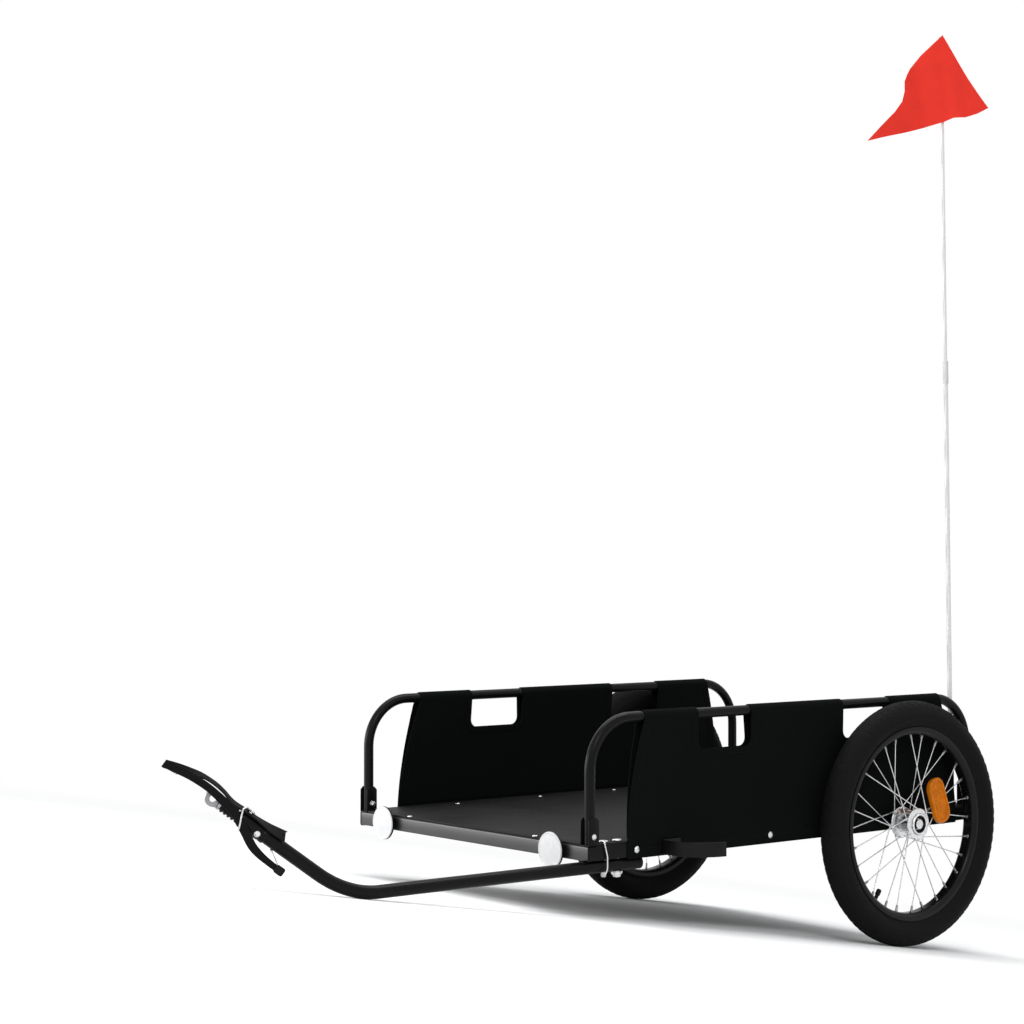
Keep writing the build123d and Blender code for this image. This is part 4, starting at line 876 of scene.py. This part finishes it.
def flag_pole():
    socket = Form().lathe([(4.2, 3), (4.2, 90), (5.25, 90), (5.25, 10), (6.2, 6), (8, 3), (8, 0.9),
                           (7.4, 0.3), (0.4, 0.3), (0.4, 3)], FOOT, 32)
    piece("flag_socket_sleeve", socket, PLASTIC, "flag_socket", crease=50)
    joint = FERRULE_MID - 0.2
    lower = Form().rod([(POLE_LOW_R, 3.2), (POLE_LOW_R, joint)], joint, FOOT, 24)
    piece("flag_pole_lower_rod", lower, POLE, "flag_pole_lower", crease=50)
    upper = Form().rod([(POLE_HIGH_R, FERRULE_MID), (POLE_HIGH_R, POLE_TOP - 1), (POLE_HIGH_R - 1, POLE_TOP)],
                       POLE_TOP, FOOT, 24)
    piece("flag_pole_upper_rod", upper, POLE, "flag_pole_upper", crease=50)
    a, b, r = FERRULE_MID - FERRULE_RUN / 2, FERRULE_MID + FERRULE_RUN / 2, FERRULE_R
    ferrule = Form().lathe([
        (4.1, a), (r - 0.4, a), (r, a + 0.5), (r, a + 3), (r - 0.3, a + 3.4), (r, a + 3.8), (r, b - 3.8),
        (r - 0.3, b - 3.4), (r, b - 3), (r, b - 1), (r - 0.6, b), (3.1, b), (3.1, b - 19), (4.1, b - 19)],
        FOOT, 28)
    piece("flag_ferrule_tube", ferrule, FERRULE, "flag_ferrule", crease=50)


def flag():
    """The cloth, folded once ahead of the pole and hanging free beside it, with its sleeve."""
    top, step = POLE_TOP + 2, 6
    outline = [(0, 0), (20, -33), (44, -73), (62, -101), (78, -124), (60, -133), (38, -140), (18, -140.5),
               (2, -147), (-16, -152), (-33, -157), (-54, -162), (-90, -170), (-127, -178), (-104, -153),
               (-80, -128), (-68, -111), (-64, -94), (-64, -77), (-60, -66), (-55, -56), (-37, -34)]
    wide, tall = spread(outline)

    def bend(x, radius=4.0):
        """0 before the fold and x beyond it, eased round its radius."""
        return (x + hypot(x, radius)) / 2

    def hung(p, off):
        h, v = p.x, p.y
        calm = share((abs(h) - 5) / 25)
        wave = 2.4 * sin((h + 0.4 * v) / 23) + 1.3 * sin(h / 10 + v / 37)
        ahead = 0.5 * bend(-51 - (v + 51) * 0.18 - h)
        above = bend(0.455 * (h + 33) + 0.89 * (v + 31))
        y = -5.6 - 0.14 * above - ahead + calm * wave + off
        return place @ Vector((h - 0.21 * ahead, y, top + v - 0.18 * ahead))
    place = FOOT @ turned(FLAG_HEADING, "Z")
    points, faces = cloth(outline, step, [step * i - tall for i in range(1, int(tall / step))])
    skin = piece("flag_cloth", sheet_form(points, faces, hung, 0.7), FLAG, "flag", crease=75)
    sleeve = Form().lathe([(3.25, top - 143), (4.3, top - 143), (4.5, top - 142), (4.5, top - 16),
                           (3.7, top - 6), (3.4, top - 1.4), (0.4, top - 0.8), (0.4, top - 1.9),
                           (3.25, top - 2.2)], place, 24)
    cover = piece("flag_sleeve", sleeve, FLAG, crease=60)


# ---- wheels: each is written about its own axle line, outboard towards +Y
def polar(radius, angle, y=0.0):
    return Vector((radius * cos(radians(angle)), y, radius * sin(radians(angle))))


OUTBOARD = turned(-90, "X")          # own Z to +Y


LUGS = (1.0, 7.2, 12.5, 2.6), (9.0, 16.0, 11.5, -2.4), (17.6, 22.5, 8.0, -1.0)   # from, to, long, slant


def tyre():
    """A carcass with sidewall ribs, and tread blocks out to the full diameter."""
    lug, rib = 0.5, 0.35
    centre, half = TYRE_R - TYRE_HALF, TYRE_HALF
    bead, bead_half = RIM_R - 5.4, RIM_HALF - 2
    crown = []
    for i in range(-48, 49):
        a = pi / 2 * i / 48 * 1.17
        r = half - (lug if abs(i) < 34 else rib) + (rib if abs(i) in (38, 39, 44) else 0)
        if centre + r * cos(a) > RIM_R + 1.2:
            crown.append((centre + r * cos(a), r * sin(a)))
    made = Form().lathe([(bead, 0.4 - bead_half), (RIM_R + 0.4, -bead_half), *crown,
                         (RIM_R + 0.4, bead_half), (bead, bead_half - 0.4)], OUTBOARD, 180)
    count, circle = 76, 2 * pi * TYRE_R
    for i in range(count):
        for way in (-1, 1):
            middle = 360 / count * (i + (0.5 if way > 0 else 0))
            for w0, w1, run, slant in LUGS:
                points = []
                for level, shrink in ((half - lug - 0.4, 0.0), (half, 0.45)):
                    for w, lean in ((w0 + shrink, -slant), (w1 - shrink, slant)):
                        for t in (-run / 2 + shrink, run / 2 - shrink):
                            points.append(polar(centre + level * cos(w / half),
                                                middle + (t + way * lean) / circle * 360,
                                                way * level * sin(w / half)))
                made.shell(points, [(0, 1, 3, 2), (4, 6, 7, 5), (0, 4, 5, 1), (2, 3, 7, 6), (0, 2, 6, 4),
                                    (1, 5, 7, 3)])
    return made


def rim():
    half, seat = RIM_HALF, RIM_R - 5.5
    side = [(seat - 0.3, 0), (seat - 0.3, half - 2.1), (RIM_R - 1.2, half - 2.1), (RIM_R - 0.3, half - 1.9),
            (RIM_R, half - 1.2), (RIM_R - 0.4, half - 0.3), (RIM_R - 1.4, half), (seat - 0.6, half),
            (seat - 2.4, half - 0.4), (BED_R + 1.4, half - 4.2), (BED_R + 0.3, half - 6), (BED_R, half - 8),
            (BED_R, 0)]
    return Form().lathe(side + [(r, -y) for r, y in side[-2:0:-1]], OUTBOARD, 144)


def spoke_ends():
    """Each spoke's hub end, rim end, hole in the flange, flange, lean and distance outboard."""
    pitch = 360 / SPOKES
    for flange in (-1, 1):
        for i in range(SPOKES):
            lean = 1 if i % 2 else -1
            start = pitch * (i + (0.5 if flange > 0 else 0))
            face = flange * (FLANGE_Y + lean * HEAD_Y)
            yield (polar(HOLE_R, start, face),
                   polar(BED_R - 0.3, start + lean * CROSSINGS * pitch, flange * 2 * SPOKE_R),
                   polar(HOLE_R, start, flange * FLANGE_Y), flange, lean, face)


def lacing():
    """The spokes with their elbows and heads, and the nipples at their rim ends."""
    spokes, nipples = Form(), Form()
    for hub_end, rim_end, hole, flange, lean, face in spoke_ends():
        points = [hub_end, rim_end]
        if lean > 0:                 # it runs level beside the flange until it is clear of its edge
            along = (Vector((rim_end.x, face, rim_end.z)) - hub_end).normalized()
            inward = -along.dot(Vector((hub_end.x, 0, hub_end.z)))
            reach = inward + sqrt((FLANGE_R + 2 * SPOKE_R) ** 2 - HOLE_R ** 2 + inward ** 2)
            points.insert(1, hub_end + along * reach)
        way = (points[1] - points[0]).normalized()
        through = Vector((0, flange * lean, 0))
        path = rounded([hole - through * 1.4, *points], [1.4] + [6] * (len(points) - 2), 30)
        spokes.sweep(path, disc(SPOKE_R, 10), (way.z, 0.02, -way.x))
        spokes.rod([(1.7, 0), (1.6, 0.6), (0.9, 1.1)], 1.2,
                   facing(hole - through * (FLANGE_THICK / 2), -through), 10)
        nipples.lathe([(0.95, -0.2), (3.1, -0.2), (3.1, 0.7), (2.0, 1.3), (1.9, 9), (1.5, 10.5),
                       (0.95, 10.5)], facing(rim_end, points[-2] - rim_end, (0, 1, 0)), 12)
    return spokes, nipples


def hub():
    """The shell: two flanges on a barrel, a collar inboard and a cup round the button outboard."""
    outer, inner = FLANGE_Y + FLANGE_THICK / 2, FLANGE_Y - FLANGE_THICK / 2
    r, lip, floor = FLANGE_R, HUB_OUT, RECESS_FLOOR
    barrel = [(r, -inner - 0.7), (r - 0.7, -inner), (BARREL_R + 2.2, -inner), (BARREL_R + 0.6, 0.6 - inner),
              (BARREL_R, 2.4 - inner), (BARREL_R - 0.8, -6)]
    return Form().lathe([
        (6.05, HUB_IN), (COLLAR_R - 0.6, HUB_IN), (COLLAR_R, HUB_IN + 0.6), (COLLAR_R, -outer - 1.2),
        (COLLAR_R + 2.5, -outer), (r - 0.7, -outer), (r, -outer + 0.7), *barrel,
        *[(radius, -y) for radius, y in barrel[::-1]], (r, outer - 0.7), (r - 0.7, outer),
        (CUP_R + 1.6, outer), (CUP_R + 0.2, outer + 0.6), (CUP_R - 0.2, lip - 0.8), (CUP_R - 0.9, lip),
        (RECESS_R + 0.8, lip), (RECESS_R, lip - 0.8), (RECESS_R, floor), (6.05, floor)], OUTBOARD, 72)


def seal():
    """The dark dust seal in the hub's recess, round the axle's button."""
    profile = [(8.9, 0.05), (13.8, 0.05), (13.8, 1.4), (13.2, 1.9), (11.6, 1.5), (10.4, 1.9), (9.2, 1.6)]
    return Form().lathe([(r, RECESS_FLOOR + z) for r, z in profile], OUTBOARD, 48)


def amber_place():
    """On the outer spokes: as far out and as steep as they are at the lens's middle."""
    at_hub = FLANGE_Y + HEAD_Y
    slope = atan2(at_hub - 2 * SPOKE_R, BED_R - 0.3 - HOLE_R)
    seat = at_hub - (AMBER_RADIUS - HOLE_R) * tan(slope) + SPOKE_R + 0.4
    return facing(polar(AMBER_RADIUS, AMBER_ANGLE, seat), polar(sin(slope), AMBER_ANGLE, cos(slope)),
                  polar(1, 90 + AMBER_LEAN))


def amber():
    """An oval lens, with a smooth border round a sunk field of hexagonal prisms, and its back."""
    a, b, t = AMBER_LONG / 2, AMBER_WIDE / 2, AMBER_THICK

    def rings(*levels):
        return [[(x, y, z) for x, y in box_section(2 * (a - i), 2 * (b - i), AMBER_CORNER - i, 15)]
                for i, z in levels]
    lens = Form().rows(rings((0.2, 2.6), (0, 3.2), (0, t - 1.2), (0.5, t - 0.4), (1.2, t), (4.2, t),
                             (4.8, t - 0.4), (5.0, t - 1.6)))
    pitch, border = 2.9, 5.9
    r = pitch / sqrt(3) * 0.99
    for j in range(-9, 10):
        for i in range(-16, 17):
            x, y = (i + (0.5 if j % 2 else 0)) * pitch, j * pitch * 0.866
            beyond = [max(0, abs(x) - a + AMBER_CORNER), max(0, abs(y) - b + AMBER_CORNER)]
            if hypot(*beyond) < AMBER_CORNER - border:
                foot = [(x + r * sin(pi / 3 * k), y + r * cos(pi / 3 * k), t - 1.62)
                        for k in range(6)]
                lens.shell(foot + [(x, y, t - 0.75)],
                           [(k, (k + 1) % 6, 6) for k in range(6)] + [(5, 4, 3, 2, 1, 0)])
    back = Form().rows(rings((2.4, 0), (0.9, 0.2), (0.7, 0.6), (0.7, 2.6)))
    for x in (9 - a, a - 9):
        back.block((7, 9, 3.4), 0.6, moved(x, 0, -0.6))
    return lens, back


def valve():
    spot = facing(polar(BED_R - 0.1, VALVE_ANGLE), -polar(1, VALVE_ANGLE), (0, 1, 0))
    end = VALVE_LENGTH - 0.2
    made = Form().rod([(4, -1), (4, 1.2), (3.2, 2.4), (3.1, 8.5), (2.7, 9.4), (3.9, 9.8), (4, 10.4),
                       (4, 17.5), (3.6, 19), (2.2, end)], end, spot, 24)
    for k in range(12):
        made.block((0.8, 0.6, 6.5), 0.15, spot @ turned(30 * k, "Z") @ moved(3.75, 0, 13.6), 1)
    return made


def stub_axle():
    """Shaft, collar against the panel and the release button."""
    collar_end, panel, button = HUB_IN - 0.5, PANEL_OUT - WHEEL_Y + 0.3, RECESS_FLOOR + 0.5
    return Form().rod([
        (5, AXLE_IN), (6, AXLE_IN + 1), (6, panel), (9.4, panel), (10, panel + 0.6),
        (10, collar_end - 0.6), (9.4, collar_end), (6, collar_end), (6, button), (7.4, button),
        (8, button + 0.6), (8, AXLE_OUT - 1.2), (7.2, AXLE_OUT - 0.3), (5.8, AXLE_OUT),
        (5.2, AXLE_OUT - 0.5)], AXLE_OUT - 0.7, OUTBOARD, 40)


def wheels():
    for name, side in SIDES.items():
        place = LEVEL @ moved(AXLE_X, side * WHEEL_Y, AXLE_Z) @ Matrix.Diagonal((1, side, 1, 1))
        spokes, nipples = lacing()
        lens, back = amber()
        for form, made, finish, node, crease in (
                ("tyre_tread", tyre(), TYRE, "tyre", 50), ("rim_hoop", rim(), RIM, "rim", 45),
                ("laced_spokes", spokes, SPOKE, "spokes", 60), ("spoke_nipples", nipples, DARK_STEEL, "", 45),
                ("hub_shell", hub(), ALLOY, "hub", 40), ("hub_seal", seal(), RUBBER, "", 40),
                ("amber_lens", lens, AMBER_LENS, "wheel_reflector", 25),
                ("amber_back", back, AMBER_LENS, "", 40), ("valve_stem", valve(), RUBBER, "valve", 40),
                ("stub_axle", stub_axle(), STEEL, "axle", 40)):
            piece(f"{name}_{form}", made, finish, node and f"{name}_{node}",
                  "root" if node == "axle" else f"{name}_wheel",
                  place @ amber_place() if finish is AMBER_LENS else place, crease)


# ---- camera, light and floor
CAMERA = Vector((-2119.6, -2760.6, 637.2))
CAMERA_AZIMUTH, CAMERA_PITCH, CAMERA_LENS = radians(51.33), radians(1.126), 78.19


def camera():
    data = bpy.data.cameras.new("camera")
    data.lens, data.sensor_width, data.sensor_fit = CAMERA_LENS, 36, "HORIZONTAL"
    data.clip_start, data.clip_end = 0.05, 100
    lens = bpy.data.objects.new("camera", data)
    bpy.context.scene.collection.objects.link(lens)
    right = Vector((sin(CAMERA_AZIMUTH), -cos(CAMERA_AZIMUTH), 0))
    ahead = Vector((-right.y, right.x, tan(CAMERA_PITCH))).normalized()
    axes = Matrix((right, right.cross(ahead), -ahead)).transposed()
    lens.matrix_world = (Matrix.Translation(LEVEL @ CAMERA)
                         @ (LEVEL.to_quaternion().to_matrix() @ axes).to_4x4())
    bpy.context.scene.camera = lens


def lamp(name, spot, size, power, goal=(0, 0, 0.3)):
    data = bpy.data.lights.new(name, "AREA")
    data.shape, data.size, data.size_y, data.energy = "RECTANGLE", *size, power
    light = bpy.data.objects.new(name, data)
    bpy.context.scene.collection.objects.link(light)
    light.visible_camera = False
    light.location = spot
    light.rotation_mode = "QUATERNION"
    light.rotation_quaternion = (Vector(goal) - Vector(spot)).to_track_quat("-Z", "Y")


def seen(tree):
    """1 for the rays that see the background: camera, glossy and transmission rays."""
    rays = node(tree, "LightPath").node.outputs
    first = node(tree, "Math", {0: rays["Is Camera Ray"], 1: rays["Is Glossy Ray"]}, operation="MAXIMUM")
    return node(tree, "Math", {0: first, 1: rays["Is Transmission Ray"]}, operation="MAXIMUM")


def world(level):
    bpy.context.scene.world = bpy.data.worlds.new("studio")
    tree = cleared(bpy.context.scene.world)
    sky = node(tree, "Background", {0: (0.97, 0.985, 1, 1), 1: level})
    back = node(tree, "Background", {0: (1, 1, 1, 1), 1: 1})
    node(tree, "OutputWorld", {0: node(tree, "MixShader", {0: seen(tree), 1: sky, 2: back})})


def floor(radius=9.0, clear=1.1, gone=3.2, steps=96):
    """A pale floor that keeps the shadow near the trailer and turns into the white background."""
    made = bmesh.new()
    rings = [[made.verts.new((x, y, 0)) for x, y in disc(r, steps)] for r in (1.2, 2.4, 4.8, radius)]
    made.faces.new(rings[0])
    for a, b in zip(rings, rings[1:]):
        for i in range(steps):
            made.faces.new((a[i], b[i], b[(i + 1) % steps], a[(i + 1) % steps]))
    paint = bpy.data.materials.new("pale_floor")
    tree = cleared(paint)
    dull = node(tree, "BsdfDiffuse", {0: (0.94, 0.94, 0.94, 1)})
    glow = node(tree, "Emission", {"Strength": seen(tree)})
    away = node(tree, "VectorMath", {0: node(tree, "TexCoord", out="Object")}, "Value", operation="LENGTH")
    fade = node(tree, "MapRange", {0: away, "From Min": clear, "From Max": gone},
                interpolation_type="SMOOTHSTEP")
    node(tree, "OutputMaterial", {0: node(tree, "MixShader", {0: fade, 1: dull, 2: glow})})
    added("floor", made, paint)


bpy.context.scene.view_settings.view_transform = "Standard"
camera()
world(0.7)
lamp("key", (-2.2, -2.6, 2.6), (1.2, 1.2), 36)
lamp("top", (0.2, 0.3, 3.2), (3.2, 0.8), 54)
lamp("front", (-1.05, 1.05, 0.26), (1.2, 0.5), 9, (-0.128, 0, 0.2))
lamp("strip", (-2.27, 0.73, 0.5), (0.3, 0.9), 12, (-0.1, -0.28, 0.3))
floor()

base_frame()
board()
hoops()
panels()
deflectors()
tow_arm()
pins()
coupler()
strap()
strap_hook()
frame_reflectors()
flag_pole()
flag()
wheels()
